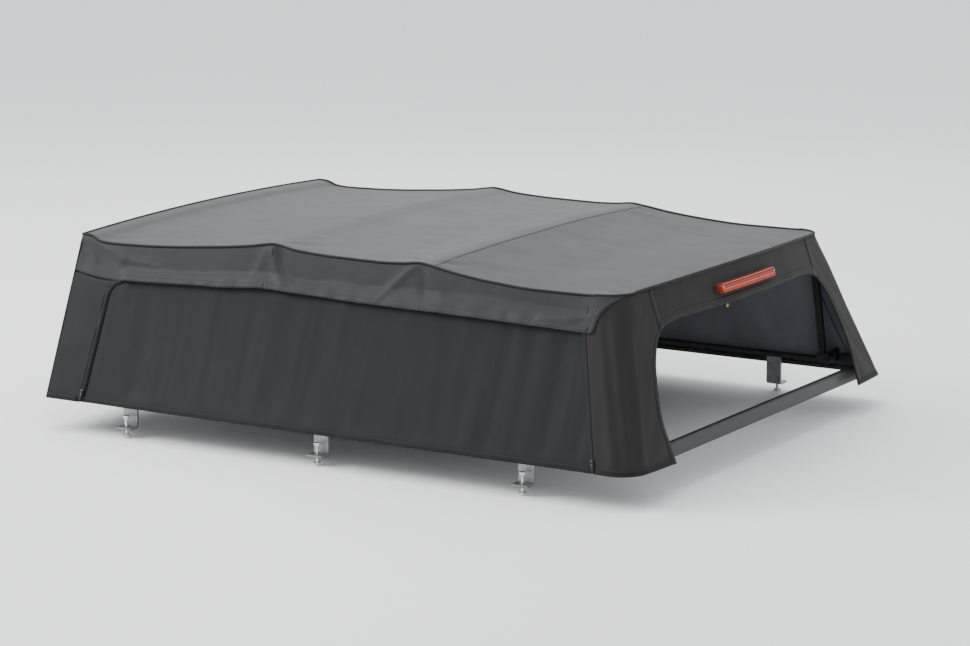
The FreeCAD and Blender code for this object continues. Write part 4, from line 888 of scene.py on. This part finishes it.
STRIP_BASE, STRIP_TOP = 0.803, 0.786
STRIP_ROUND, STRIP_SQUARE = 0.046, 0.322
ROUND_TURNS = [math.radians(90) * i / 14 for i in range(1, 15)]
ROUND_HEIGHTS = [STRIP_SQUARE - STRIP_ROUND * (1 - math.sin(turn)) for turn in ROUND_TURNS]


def strip_rear(height):
    """Rear edge of the front strip, rounded forward to the panel's top and rearward into the flap."""
    y = STRIP_BASE + (STRIP_TOP - STRIP_BASE) * height / 0.334
    over = (height - (STRIP_SQUARE - STRIP_ROUND)) / STRIP_ROUND
    if over > 0:
        y -= STRIP_ROUND * (1 - math.sqrt(max(0.0, 1 - min(over, 1.0) ** 2)))
    return y


def strip_point(side, share, height):
    front = BASE_FRONT - FRONT_LEAN * height - 0.0005
    rear = strip_rear(height)
    y = front + (rear - front) * share
    out = 0.0012 * ripple(y, height, side, 14.0, 2.0) + 0.0010 * math.sin(math.pi * share)
    below = hem_height(y) - height
    drawn_in = 0.0042 * ease((0.006 - below) / 0.005)
    return shell(side, y, height, out * ease(height / 0.03) * ease(below / 0.03) - drawn_in)


def make_front_strip(label, side):
    """Strip down the front end of a side, rounded into the flap."""
    square = STRIP_SQUARE - STRIP_ROUND
    rows = stations([(HEM_RISE, square, 26)]) + ROUND_HEIGHTS + stations([(STRIP_SQUARE, 0.352, 15)])[1:]
    piece = lay_cloth(label, stations([(0, 1, 24)]), rows, lambda s, h: strip_point(side, s, h),
                      lambda s, h: (s * 0.11, h), sideways(side))
    return lined(piece, strip_cloth_painted_shade)


SEAM_BASE, SEAM_TOP = -0.7936, -0.6956


def seam_reach(height):
    """Place of the closing seam between side panel and rear corner."""
    return SEAM_BASE + (SEAM_TOP - SEAM_BASE) * height / 0.322


def side_panel_out(y, height):
    """Soft waves of the zipped side panel: upright draws near its rear, a slack belly, a taut foot."""
    free = ease(height / 0.05) * ease((0.350 - height) / 0.03)
    belly = (-0.004 * math.sin(math.pi * min(height / 0.33, 1))
             * ease((0.78 - y) / 0.15) * ease((y + 0.80) / 0.12))
    draws = (0.0022 * ripple(y * 3.6, height * 0.35, 0, 5.0, 4.0)
             + 0.0012 * ripple(y * 9.0, height * 0.8, 0, 5.0, 9.0))
    rear = 0.6 * ease((-0.30 - y) / 0.4)
    foot = (0.0014 * math.sin(y * 34 + 1.3 * math.sin(y * 11))
            * ease((0.05 - height) / 0.05) * ease(height / 0.012))
    tucked_in = 0.0018 * ease((height - 0.322) / 0.02)
    return free * (belly + draws * (0.7 + 1.1 * rear)) + foot * 0.6 - tucked_in


def panel_point(side, y, height):
    return shell(side, y, height, side_panel_out(y, height) - CLOTH - 0.0005)


def make_side_panel(label, side):
    def shape(t, height):
        front, rear = strip_rear(min(height, 0.30)) + 0.020, seam_reach(height) - 0.012
        return panel_point(side, front + (rear - front) * t, height)

    rows = stations([(HEM_RISE + 0.0015, 0.03, 6), (0.03, 0.350, 36)])
    piece = lay_cloth(label, stations([(0, 1, 190)]), rows, shape, lambda t, h: (t * 1.6, h), sideways(side))
    return lined(piece, side_cloth_painted_shade)


# Rear: corners, header, lamp.

OPENING = smooth_line([(0.0, 0.540), (0.060, 0.546), (0.094, 0.550), (0.146, 0.543), (0.190, 0.530),
                       (0.233, 0.514), (0.275, 0.489), (0.298, 0.470), (0.312, HEADER_HALF),
                       (0.45, HEADER_HALF)])
HEADER_LOW = smooth_line([(0.0, 0.3335), (0.34, 0.3335), (0.383, 0.331), (0.428, 0.323),
                          (HEADER_HALF, 0.312)])


def corner_out(reach, height, plan):
    past = (plan.corner_y - reach) / plan.arc
    lobe = math.sin(math.pi * min(max(past, 0), 1))
    pleats = (0.0030 * lobe * math.sin(past * 15 + height * 5)
              * ease(height / 0.04) * ease((0.40 - height) / 0.08))
    waves = 0.0018 * ripple(reach * 2.6, height * 0.7, 0, 9.0, 6.0)
    return pleats + waves * ease(height / 0.04) * ease((0.41 - height) / 0.04)


def rear_top_height(x):
    return REAR_EDGE + CROWN * (1 - min(abs(x) / REAR_HALF, 1) ** 2) - 0.0025


def corner_point(side, t, v):
    """Point of a rear corner: t runs from the closing seam to the opening, v from the foot to the roof."""
    plan = Plan(HEM_RISE + v * (0.4125 - HEM_RISE))
    height = HEM_RISE + v * (0.4125 - HEM_RISE)
    for _ in range(2):
        start, end = seam_reach(min(height, 0.36)), plan.reach_to(OPENING(height))
        reach = start + (end - start) * t
        height = HEM_RISE + v * (rear_top_height(plan.at(reach)[0]) - HEM_RISE)
        plan = Plan(height)
    start, end = seam_reach(min(height, 0.36)), plan.reach_to(OPENING(height))
    reach = start + (end - start) * t
    return shell(side, reach, height, corner_out(reach, height, plan) * ease(t * 9) * ease((1 - t) * 9))


def make_rear_corner(label, side):
    """Rear corner from the closing seam round to the rear opening and the header's seam."""
    piece = lay_cloth(label, stations([(0, 1, 56)]), stations([(0, 1, 56)]),
                      lambda t, v: corner_point(side, t, v), lambda t, v: (t * 0.33, v * 0.43),
                      outward_rear(side))
    return lined(piece, rear_cloth)


def rear_face(x, height, out=0.0):
    plan = Plan(height)
    y = plan.rear_y(x)
    away = Vector((x / plan.radius, -1, REAR_LEAN)).normalized()
    return Vector((x, y, SEAT + height)) + away * out


def header_point(x, v):
    low, top = HEADER_LOW(abs(x)), rear_top_height(x)
    height = low + (top - low) * v
    out = 0.0014 * ripple(x * 1.6, height, 0, 8.0, 11.0) * ease((HEADER_HALF - abs(x)) / 0.04)
    return rear_face(x, height, out)


def make_header():
    piece = lay_cloth("header_sheet", stations([(-HEADER_HALF, HEADER_HALF, 110)]), stations([(0, 1, 14)]),
                      header_point, lambda x, v: (x, v * 0.1), rearward)
    return lined(piece, rear_cloth)


# Front panel with its window.

WINDOW_HALF, WINDOW_LOW, WINDOW_HIGH, WINDOW_ROUND = 0.450, 0.090, 0.340, 0.050
RIM_CELLS = 44


def front_top_height(x):
    return FRONT_EDGE + CROWN * (1 - min(abs(x) / FRONT_HALF, 1) ** 2) - 0.003


def round_outline(half, low, high, radius, count):
    """Rounded rectangle as points, counter-clockwise from the middle of its lower right corner."""
    corners = [(half, low), (half, high), (-half, high), (-half, low)]
    points = []
    for number, (x, h) in enumerate(corners):
        following = corners[(number + 1) % 4]
        start_turn = math.radians(-45 + 90 * number)
        middle_a = Vector((x - math.copysign(radius, x), h + (radius if h == low else -radius)))
        middle_b = Vector((following[0] - math.copysign(radius, following[0]),
                           following[1] + (radius if following[1] == low else -radius)))
        for i in range(count):
            t = i / count
            if t < 0.2:
                turn = start_turn + math.radians(45) * t / 0.2
                points.append(middle_a + Vector((math.cos(turn), math.sin(turn))) * radius)
            elif t > 0.8:
                turn = start_turn + math.radians(45 + 45 * (t - 0.8) / 0.2)
                points.append(middle_b + Vector((math.cos(turn), math.sin(turn))) * radius)
            else:
                turn = start_turn + math.radians(45)
                away = Vector((math.cos(turn), math.sin(turn))) * radius
                share = (t - 0.2) / 0.6
                points.append((middle_a + away) * (1 - share) + (middle_b + away) * share)
    return points


def panel_outline(count):
    """Outline of the front panel in x and height, matched side by side with round_outline."""
    inset = 0.0035

    def half(height):
        return HALF_BASE - LEAN * height - inset

    low, points = HEM_RISE, []
    top = front_top_height(half(0.42))
    for i in range(count):
        t = i / count
        points.append(Vector((half(low + (top - low) * t), low + (top - low) * t)))
    for i in range(count):
        x = half(top) * (1 - 2 * i / count)
        points.append(Vector((x, front_top_height(x))))
    for i in range(count):
        height = top + (low - top) * i / count
        points.append(Vector((-half(height), height)))
    for i in range(count):
        points.append(Vector((-half(low) + 2 * half(low) * i / count, low)))
    return points


def make_front_panel():
    count = RIM_CELLS
    hole = round_outline(WINDOW_HALF, WINDOW_LOW, WINDOW_HIGH, WINDOW_ROUND, count)
    rim = panel_outline(count)

    def flat(turn, share):
        number = int(turn) % (4 * count)
        spot = hole[number] * (1 - share) + rim[number] * share
        return spot.x, spot.y

    def shape(turn, share):
        x, height = flat(turn, share)
        slack = (ease((0.72 - LEAN * height - abs(x)) / 0.05)
                 * ease(height / 0.04) * ease((0.41 - height) / 0.04))
        out = (0.0016 * ripple(x, height, 0, 9.0, 3.3) - 0.0010) * slack * ease(share * 5)
        return front_face(x, height, out)

    turns = stations([(0, 4 * count, 4 * count)])
    piece = lay_cloth("front_sheet", turns, stations([(0, 1, 10)]), shape, flat, forward)
    bm = bmesh.new()
    bm.from_mesh(piece.data)
    bmesh.ops.remove_doubles(bm, verts=bm.verts, dist=0.00005)
    bm.to_mesh(piece.data)
    bm.free()
    piece.data.shade_smooth()
    return lined(piece, strip_cloth_painted_shade)


def make_window():
    def shape(x, height):
        out = -0.0042 + 0.0022 * ripple(x, height, 0, 4.5, 7.7)
        return front_face(x, height, out)

    piece = lay_cloth("window_sheet", stations([(-0.458, 0.458, 60)]), stations([(0.082, 0.348, 20)]), shape,
                      lambda x, h: (x, h), forward)
    dress(piece, clear_vinyl)
    return back_with_lining(piece, 0.0012, False)


finish_cad_nodes()

roof_front = make_roof("roof_front", FRONT_TOP, BOW_2, 80)
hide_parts("roof_front")
roof_middle = make_roof("roof_middle", BOW_2, ROOF_SEAM, 64, True)
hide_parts("roof_middle")
roof_rear = make_roof_rear()
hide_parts("roof_rear")
header = make_header()
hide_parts("rear_header")
front_panel = make_front_panel()
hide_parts("front_panel")
window = make_window()
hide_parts("front_window")
soft = {}
for label, side in SIDES:
    for kind, make in (("rear_flap", make_rear_flap), ("front_strip", make_front_strip),
                       ("side_panel", make_side_panel), ("rear_corner", make_rear_corner)):
        piece = make(f"{kind}_sheet_{label}", side)
        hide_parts(f"{kind}_{label}")
        soft[kind, label] = piece


# Trim: piping, zips, bindings, strap.

def make_slider(label, place, ahead, side):
    """Zip slider with its pull tab hanging along the zip."""
    away = Vector((side, 0, LEAN)).normalized()
    ahead = ahead.normalized()
    across = ahead.cross(away)
    bm = bmesh.new()
    blocks = [((0, 0, 0.0018), (0.0090, 0.0120, 0.0036)), ((0, 0.001, 0.0042), (0.0030, 0.0070, 0.0022)),
              ((0, 0.014, 0.0034), (0.0064, 0.0220, 0.0012))]
    for middle, size in blocks:
        block = bmesh.ops.create_cube(bm, size=1)["verts"]
        bmesh.ops.transform(bm, matrix=Matrix.Translation(middle) @ Matrix.Diagonal((*size, 1)), verts=block)
    bmesh.ops.bevel(bm, geom=bm.edges[:], offset=0.0005, segments=2, affect="EDGES", profile=0.5, material=-1)
    turn = Matrix((across, ahead, away)).transposed().to_4x4()
    bmesh.ops.transform(bm, matrix=Matrix.Translation(place) @ turn, verts=bm.verts)
    return dress(put(label, bm), slider_metal)


def edge_path(side, front, rear, count, lift=0.0012):
    points = []
    for i in range(count + 1):
        y = front + (rear - front) * i / count
        edge = edge_height(y)
        points.append(Vector((side * (HALF_BASE - LEAN * edge + 0.0008), y, SEAT + edge + lift)))
    return points


PIPING, BINDING = 0.0030, 0.0026
trims = {}


def make_piping(label, front, rear, count):
    pieces = [tube(f"{label}_{name}", edge_path(side, front, rear, count), PIPING) for name, side in SIDES]
    for piece in pieces:
        dress(piece, binding_vinyl)
    return join(label, pieces)


def rear_edge_path():
    """Round the rear of the roof, from the seam behind bow 3 on one side to the other."""
    right = edge_path(1, ROOF_SEAM, -0.68, 40)
    plan = Plan(REAR_EDGE)
    for i in range(1, 13):
        reach = -0.68 + (plan.corner_y + 0.68) * i / 12
        spot = shell(1, reach, edge_height(reach), 0.0008)
        right.append(Vector((spot.x, spot.y, SEAT + edge_height(reach) + 0.0012)))
    for i in range(1, 17):
        spot = shell(1, plan.corner_y - plan.arc * i / 16, REAR_EDGE, 0.0008)
        right.append(Vector((spot.x, spot.y, SEAT + REAR_EDGE + 0.0012)))
    for i in range(1, 41):
        x = plan.touch * (1 - i / 40)
        height = REAR_EDGE + CROWN * (1 - (x / REAR_HALF) ** 2)
        right.append(Vector((x, plan.rear_y(x) - 0.0008, SEAT + height + 0.0004)))
    left = [Vector((-p.x, p.y, p.z)) for p in reversed(right[:-1])]
    return right + left


trims["piping_front"] = make_piping("piping_front", FRONT_TOP, BOW_2, 90)
trims["piping_middle"] = make_piping("piping_middle", BOW_2, ROOF_SEAM, 70)
trims["piping_rear"] = dress(tube("piping_rear", rear_edge_path(), PIPING), binding_vinyl)


def front_edge_path():
    points = []
    for i in range(81):
        x = FRONT_HALF * (1 - 2 * i / 80)
        height = FRONT_EDGE + CROWN * (1 - (x / FRONT_HALF) ** 2)
        points.append(Vector((x, FRONT_TOP + 0.0006, SEAT + height + 0.0006)))
    return points


trims["piping_brow"] = dress(tube("piping_brow", front_edge_path(), PIPING), binding_vinyl)


ZIP_TAPE, ZIP_TEETH, ZIP_SET_IN = 0.015, 0.0046, 0.0012


def zip_line(label, path, side):
    """Zip along a path on the side: its tape and its row of teeth."""
    away = Vector((side, 0, LEAN)).normalized()
    count = len(path)

    def across(i):
        ahead = (path[min(i + 1, count - 1)] - path[max(i - 1, 0)]).normalized()
        return ahead.cross(away)

    under = [p + away * (0.0006 - ZIP_SET_IN) for p in path]
    row = [p + away * (0.0016 - ZIP_SET_IN) for p in path]
    tape = ribbon(f"{label}_tape", under, ZIP_TAPE, 0.0010, across, 4)
    teeth = ribbon(f"{label}_teeth", row, ZIP_TEETH, 0.0014, across, 2, 0.0006)
    return dress(tape, tape_black), dress(teeth, zip_black)


for label, side in SIDES:
    square = STRIP_SQUARE - STRIP_ROUND
    zip_heights = stations([(HEM_RISE + 0.004, square, 36)]) + ROUND_HEIGHTS[:-1]
    front_zip = [shell(side, strip_rear(h) - 0.004, h, 0.0) for h in zip_heights]
    rear_zip = [shell(side, seam_reach(h) + 0.004, h, 0.0) for h in
                [HEM_RISE + 0.004 + 0.330 * i / 44 for i in range(45)]]
    for kind, path in (("front_zip", front_zip), ("rear_zip", rear_zip)):
        tape, teeth = zip_line(f"{kind}_{label}", path, side)
        slider = make_slider(f"{kind}_slider_{label}", path[3], path[0] - path[3], side)
        trims[f"{kind}_tape_{label}"] = tape
        trims[f"{kind}_teeth_{label}"] = teeth
        trims[f"{kind}_slider_{label}"] = slider


# Hems and seams, each a band with its two rows of stitches.

def sew(name, surface, along, across, finish, facing, thickness=0.0010):
    """Make a band of the trim. along and across are (start, end, cells)."""
    trims[name] = overlay(name, surface, stations([along]), stations([across]), finish, facing, thickness)


def sew_sides(label, side):
    def flap(y, rise):
        hem = hem_height(y)
        return flap_point(side, y, hem + rise, edge_height(y), hem)

    def rear_flap(t, v):
        return rear_flap_point(side, t, v)

    def corner(t, v):
        return corner_point(side, t, v)

    out, round_rear = sideways(side), outward_rear(side)
    sew(f"hem_front_{label}", flap, (0.748, BOW_2, 70), (0.0004, BAND, 3), flap_band_painted_shade, out)
    sew(f"hem_middle_{label}", flap, (BOW_2, ROOF_SEAM, 70), (0.0004, BAND, 3), flap_band_painted_shade, out)
    sew(f"hem_rear_{label}", rear_flap, (0.0, 0.97, 70), (0.868, 0.998, 3), flap_band_painted_shade, out)
    sew(f"flap_end_{label}", lambda v, t: rear_flap(t, v), (0.06, 0.998, 24), (0.9735, 0.999, 3),
        flap_band_painted_shade, out)
    sew(f"foot_band_{label}", lambda y, height: panel_point(side, y, height),
        (STRIP_BASE - 0.003, SEAM_BASE + 0.010, 150), (0.0035, 0.0165, 3), black_band, out)
    sew(f"strip_foot_{label}", lambda t, height: strip_point(side, t, height), (0.01, 0.93, 12),
        (HEM_RISE + 0.0004, HEM_RISE + BAND, 3), black_band, out)
    sew(f"corner_foot_{label}", corner, (0.03, 0.995, 48), (0.001, 0.034, 3), black_band, round_rear)
    sew(f"opening_facing_{label}", lambda v, t: corner(t, v), (0.036, 0.74, 50), (0.948, 0.995, 4), rear_band_painted_shade,
        round_rear)
    sew(f"header_seam_{label}", lambda v, x: header_point(side * x, v), (0.005, 0.97, 14),
        (HEADER_HALF - BAND, HEADER_HALF - 0.0005, 3), rear_band_painted_shade, rearward)


for label, side in SIDES:
    sew_sides(label, side)
sew("header_foot", header_point, (0.002 - HEADER_HALF, HEADER_HALF - 0.002, 100), (0.008, 0.175, 3),
    rear_band_painted_shade, rearward)
seam_half = HALF_BASE - LEAN * edge_height(ROOF_SEAM) - 0.005
sew("roof_seam", lambda x, y: Vector((x, y, roof_height(x, y))), (-seam_half, seam_half, 120),
    (ROOF_SEAM - BAND / 2, ROOF_SEAM + BAND / 2, 4), roof_band_painted_light, upward, 0.0006)


def make_window_binding():
    count = RIM_CELLS
    rims = {}

    def rim(wider):
        if wider not in rims:
            rims[wider] = round_outline(WINDOW_HALF + wider, WINDOW_LOW - wider, WINDOW_HIGH + wider,
                                        WINDOW_ROUND + wider, count)
        return rims[wider]

    def shape(turn, wider):
        spot = rim(wider)[int(turn) % (4 * count)]
        return front_face(spot.x, spot.y, 0.0014)

    girth = 2 * (WINDOW_HALF * 2 + WINDOW_HIGH - WINDOW_LOW)
    piece = lay_cloth("window_binding", stations([(0, 4 * count, 4 * count)]), stations([(-0.004, 0.010, 3)]),
                      shape, lambda turn, wider: (wider - 0.003, turn / (4 * count) * girth), forward)
    dress(piece, black_band)
    return back_with_lining(piece, 0.0012, False)


trims["window_binding"] = make_window_binding()
for label, side in SIDES:
    fold = [Vector((side * (HALF_BASE - LEAN * h - 0.0012), BASE_FRONT - FRONT_LEAN * h - 0.0014, SEAT + h))
            for h in [HEM_RISE + 0.001 + 0.415 * i / 40 for i in range(41)]]
    trims[f"front_fold_{label}"] = dress(tube(f"front_fold_{label}", fold, BINDING), strip_cloth_painted_shade)


def opening_path():
    """Edge of the rear opening: up one corner, under the header, down the other."""
    right = []
    for i in range(61):
        height = HEM_RISE + (0.312 - HEM_RISE) * i / 60
        plan = Plan(height)
        right.append(shell(1, plan.reach_to(OPENING(height)), height, -0.0015))
    for i in range(1, 41):
        x = HEADER_HALF * (1 - i / 40)
        right.append(rear_face(x, HEADER_LOW(x), -0.0015))
    return right, 61


right_edge, corner_count = opening_path()
for label, side in SIDES:
    path = [Vector((side * p.x, p.y, p.z)) for p in right_edge[:corner_count]]
    trims[f"opening_binding_{label}"] = dress(tube(f"opening_binding_{label}", path, BINDING), binding_vinyl)
under_header = right_edge[corner_count - 1:]
under_header += [Vector((-p.x, p.y, p.z)) for p in reversed(under_header[:-1])]
trims["header_binding"] = dress(tube("header_binding", under_header, BINDING), binding_vinyl)


# Lamp's rim and screws, and the strap with its snap under the header.

LAMP_MIDDLE, LAMP_FACE = 0.3735, 0.0193


# A pale red tube round the lens; its paleness is a painted highlight.
def make_lens_rim():
    half, tall = 0.1495, 0.0066
    points = []
    for number in range(64):
        turn = 2 * math.pi * number / 64
        x = math.copysign(half - tall, math.cos(turn)) + tall * math.cos(turn)
        points.append(rear_face(x, LAMP_MIDDLE + tall * math.sin(turn), LAMP_FACE))
    straight = [0.14 - 0.28 * i / 30 for i in range(31)]
    upper = [rear_face(x, LAMP_MIDDLE + tall, LAMP_FACE) for x in straight]
    lower = [rear_face(-x, LAMP_MIDDLE - tall, LAMP_FACE) for x in straight]
    path = points[:17] + upper + points[17:49] + lower + points[49:]
    return dress(tube("lens_rim", path, 0.0011, 8, True), rim_red_painted_highlight)


def make_screw(label, place, away, finish, radius):
    """Pan-head screw with a cross recess, looking along away."""
    bm = bmesh.new()
    bmesh.ops.create_cone(bm, cap_ends=True, segments=20, radius1=radius, radius2=radius * 0.62, depth=0.0020)
    top = [face for face in bm.faces if face.normal.z > 0.9]
    bmesh.ops.inset_region(bm, faces=top, thickness=radius * 0.22)
    for face in top:
        for vert in face.verts:
            vert.co.z += 0.0003
    for turn in (0, math.pi / 2):
        slot = bmesh.ops.create_cube(bm, size=1)["verts"]
        size = Matrix.Diagonal((radius, radius * 0.20, 0.0002, 1))
        placed = Matrix.Translation((0, 0, 0.00132)) @ Matrix.Rotation(turn, 4, "Z") @ size
        bmesh.ops.transform(bm, verts=slot, matrix=placed)
    turned = away.to_track_quat("Z", "Y").to_matrix().to_4x4()
    bmesh.ops.transform(bm, matrix=Matrix.Translation(place) @ turned, verts=bm.verts)
    piece = dress(put(label, bm), finish, zip_black)
    for face in piece.data.polygons[-12:]:
        face.material_index = 1
    return piece


trims["lens_rim"] = make_lens_rim()
for label, side in SIDES:
    name = f"lens_screw_{label}"
    spot = rear_face(side * 0.1445, LAMP_MIDDLE, LAMP_FACE + 0.0008)
    trims[name] = make_screw(name, spot, Vector((0, -1, REAR_LEAN)), zinc, 0.0034)


def make_strap():
    """Short webbing tab under the header, with a brass snap."""
    x, low = -0.105, HEADER_LOW(0.105)
    path = [rear_face(x, low + 0.010 - 0.0034 * i, -0.0058 - 0.0004 * i) for i in range(8)]
    strap = ribbon("strap_tab", path, 0.026, 0.0024, lambda i: Vector((1, 0, 0)), 3)
    return dress(strap, strap_webbing), path[5]


trims["strap_tab"], snap_place = make_strap()


def make_snap(label, place, away):
    bm = bmesh.new()
    bmesh.ops.create_cone(bm, cap_ends=True, segments=28, radius1=0.0050, radius2=0.0045, depth=0.0016)
    top = [face for face in bm.faces if face.normal.z > 0.9]
    bmesh.ops.inset_region(bm, faces=top, thickness=0.0016)
    made = bmesh.ops.extrude_face_region(bm, geom=top)["geom"]
    raised = [item for item in made if isinstance(item, bmesh.types.BMVert)]
    bmesh.ops.translate(bm, vec=(0, 0, 0.0012), verts=raised)
    bmesh.ops.delete(bm, geom=top, context="FACES_ONLY")
    bmesh.ops.bevel(bm, geom=bm.edges[:], offset=0.0003, segments=2, affect="EDGES", profile=0.5, material=-1)
    turned = away.to_track_quat("Z", "Y").to_matrix().to_4x4()
    bmesh.ops.transform(bm, matrix=Matrix.Translation(place) @ turned, verts=bm.verts)
    return dress(put(label, bm), brass)


trims["strap_snap"] = make_snap("strap_snap", snap_place + Vector((0, -0.0017, 0)), Vector((0, -1, 0.1)))

# Riding.

FOLDS = {
    "front": ("base", "bow_two", (0, 0.88, 0.5), (0, 0.30, 0.5)),
    "middle": ("bow_two", "bow_three", (0, 0.25, 0.5), (0, -0.15, 0.5)),
    "rear": ("bow_three", "side_arms", (0, -0.215, 0.5), (0, -0.36, 0.5)),
}


def bend(piece, stretch):
    first, second, start, end = FOLDS[stretch]
    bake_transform(piece)
    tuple(start)
    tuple(end)


for piece, stretch in ((roof_front, "front"), (roof_middle, "middle"), (roof_rear, "rear")):
    bend(piece, stretch)
    bend(trims[f"piping_{stretch}"], stretch)
for kind in ("header_binding", "header_foot", "lens_rim", "strap_tab", "strap_snap"):
    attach(trims[kind], "rear_hoop")
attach(header, "rear_hoop")
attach(trims["roof_seam"], "bow_three")
for piece in (front_panel, window, trims["piping_brow"], trims["window_binding"]):
    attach(piece, "base")
for label, side in SIDES:
    for kind, stretch in (("hem_front", "front"), ("hem_middle", "middle"), ("hem_rear", "rear"),
                          ("flap_end", "rear")):
        bend(trims[f"{kind}_{label}"], stretch)
    bend(soft["rear_flap", label], "rear")
    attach(soft["front_strip", label], "base")
    for piece in (soft["side_panel", label], trims[f"foot_band_{label}"]):
        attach(piece, "base")
        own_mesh(piece)
    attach(soft["rear_corner", label], "rear_hoop")
    for kind in ("front_zip_tape", "front_zip_teeth", "front_zip_slider", "strip_foot", "front_fold"):
        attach(trims[f"{kind}_{label}"], "base")
    for kind in ("rear_zip_tape", "rear_zip_teeth", "rear_zip_slider", "corner_foot", "opening_facing",
                 "opening_binding", "header_seam", "lens_screw"):
        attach(trims[f"{kind}_{label}"], "rear_hoop")

for piece in list(soft.values()) + [roof_front, roof_middle, roof_rear, header, front_panel]:
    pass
for name, piece in trims.items():
    ("red_lens" if name == "lens_rim" else "zinc_steel" if "screw" in name or "snap" in name
            else "black_plastic" if "slider" in name or "teeth" in name else "canopy_cloth")


def declare(piece, held, rests_on, *sewn_on, size=None):
    """Look up the longest width and length this sheet was cut to, or take the size given; nothing is passed
    on to the frame and no area is worked out.
    """
    size or cut_sizes[piece.name]


def sewn_to(*kinds):
    return [trims[f"{kind}_{label}"] for kind in kinds for label, _ in SIDES]


declare(roof_front, "stretched", ["front_bow", "bow_2"], trims["piping_front"], trims["piping_brow"],
        *sewn_to("hem_front"))
declare(roof_middle, "stretched", ["bow_2", "bow_3"], trims["piping_middle"], *sewn_to("hem_middle"))
declare(roof_rear, "stretched", ["bow_3", "rear_bow"], trims["piping_rear"], trims["roof_seam"])
declare(header, "hung", ["rear_bow"], trims["header_binding"], trims["header_foot"], *sewn_to("header_seam"))
declare(front_panel, "stretched", ["front_bow", "bulkhead_rail"], trims["window_binding"],
        size=(1.485, 0.45))
for label, side in SIDES:
    declare(soft["rear_flap", label], "hung", [roof_rear.name],
            trims[f"hem_rear_{label}"], trims[f"flap_end_{label}"])
    declare(soft["front_strip", label], "stretched", [roof_front.name, f"rail_{label}"],
            *[trims[f"{kind}_{label}"] for kind in ("front_zip_tape", "strip_foot", "front_fold")])
    declare(soft["side_panel", label], "hung", [roof_front.name, roof_middle.name],
            trims[f"foot_band_{label}"])
    declare(soft["rear_corner", label], "stretched", ["rear_bow"],
            *[trims[f"{kind}_{label}"] for kind in ("rear_zip_tape", "corner_foot", "opening_facing",
                                                    "opening_binding")])


# Floor, light, camera.

def make_floor():
    bm = bmesh.new()
    bmesh.ops.create_grid(bm, x_segments=24, y_segments=24, size=14)
    floor = put("floor", bm)
    dress(floor, plain_floor("floor_paint"))


make_floor()


def aim(item, target):
    item.rotation_euler = (Vector(target) - item.location).to_track_quat("-Z", "Y").to_euler()


def area_light(name, place, target, width, depth, power, colour=(1, 1, 1)):
    light = bpy.data.lights.new(name, "AREA")
    light.shape = "RECTANGLE"
    light.size, light.size_y = width, depth
    light.energy = power
    light.color = colour
    item = bpy.data.objects.new(name, light)
    item.location = place
    aim(item, target)
    bpy.context.scene.collection.objects.link(item)


area_light("front_key", (-2.8, 4.4, 3.6), (0, 0.1, 0.4), 2.6, 2.6, 300)
area_light("overhead", (0.4, 0.9, 4.4), (0, 0.3, 0.5), 4.0, 4.0, 120)
area_light("near_side", (-5.0, -1.6, 2.0), (0, 0, 0.3), 2.4, 1.4, 14)
area_light("far_side", (4.5, 2.0, 2.6), (0, 0, 0.4), 3.0, 2.0, 30)


def make_sky():
    """A studio sky, brighter overhead than at its rim."""
    sky = bpy.data.worlds.new("studio")
    sky.use_nodes = True
    nodes, links = sky.node_tree.nodes, sky.node_tree.links
    place = nodes.new("ShaderNodeTexCoord")
    parts = nodes.new("ShaderNodeSeparateXYZ")
    strength = nodes.new("ShaderNodeMapRange")
    for name, value in (("From Min", 0.0), ("From Max", 0.9), ("To Min", 0.86), ("To Max", 1.62)):
        strength.inputs[name].default_value = value
    links.new(place.outputs["Generated"], parts.inputs[0])
    links.new(parts.outputs[2], strength.inputs["Value"])
    links.new(strength.outputs["Result"], nodes["Background"].inputs["Strength"])
    nodes["Background"].inputs["Color"].default_value = (0.93, 0.95, 0.98, 1)
    bpy.context.scene.world = sky


make_sky()


def set_camera():
    """The photograph's viewpoint, turned to the canopy's middle and zoomed so that it fills the frame."""
    lens = bpy.data.cameras.new("camera")
    item = bpy.data.objects.new("camera", lens)
    item.location = (-7.600, -4.616, 2.005)
    aim(item, (0.0, -0.03, 0.262))
    lens.sensor_width = 36
    lens.lens = 122
    lens.clip_end = 60
    bpy.context.scene.collection.objects.link(item)
    bpy.context.scene.camera = item


set_camera()
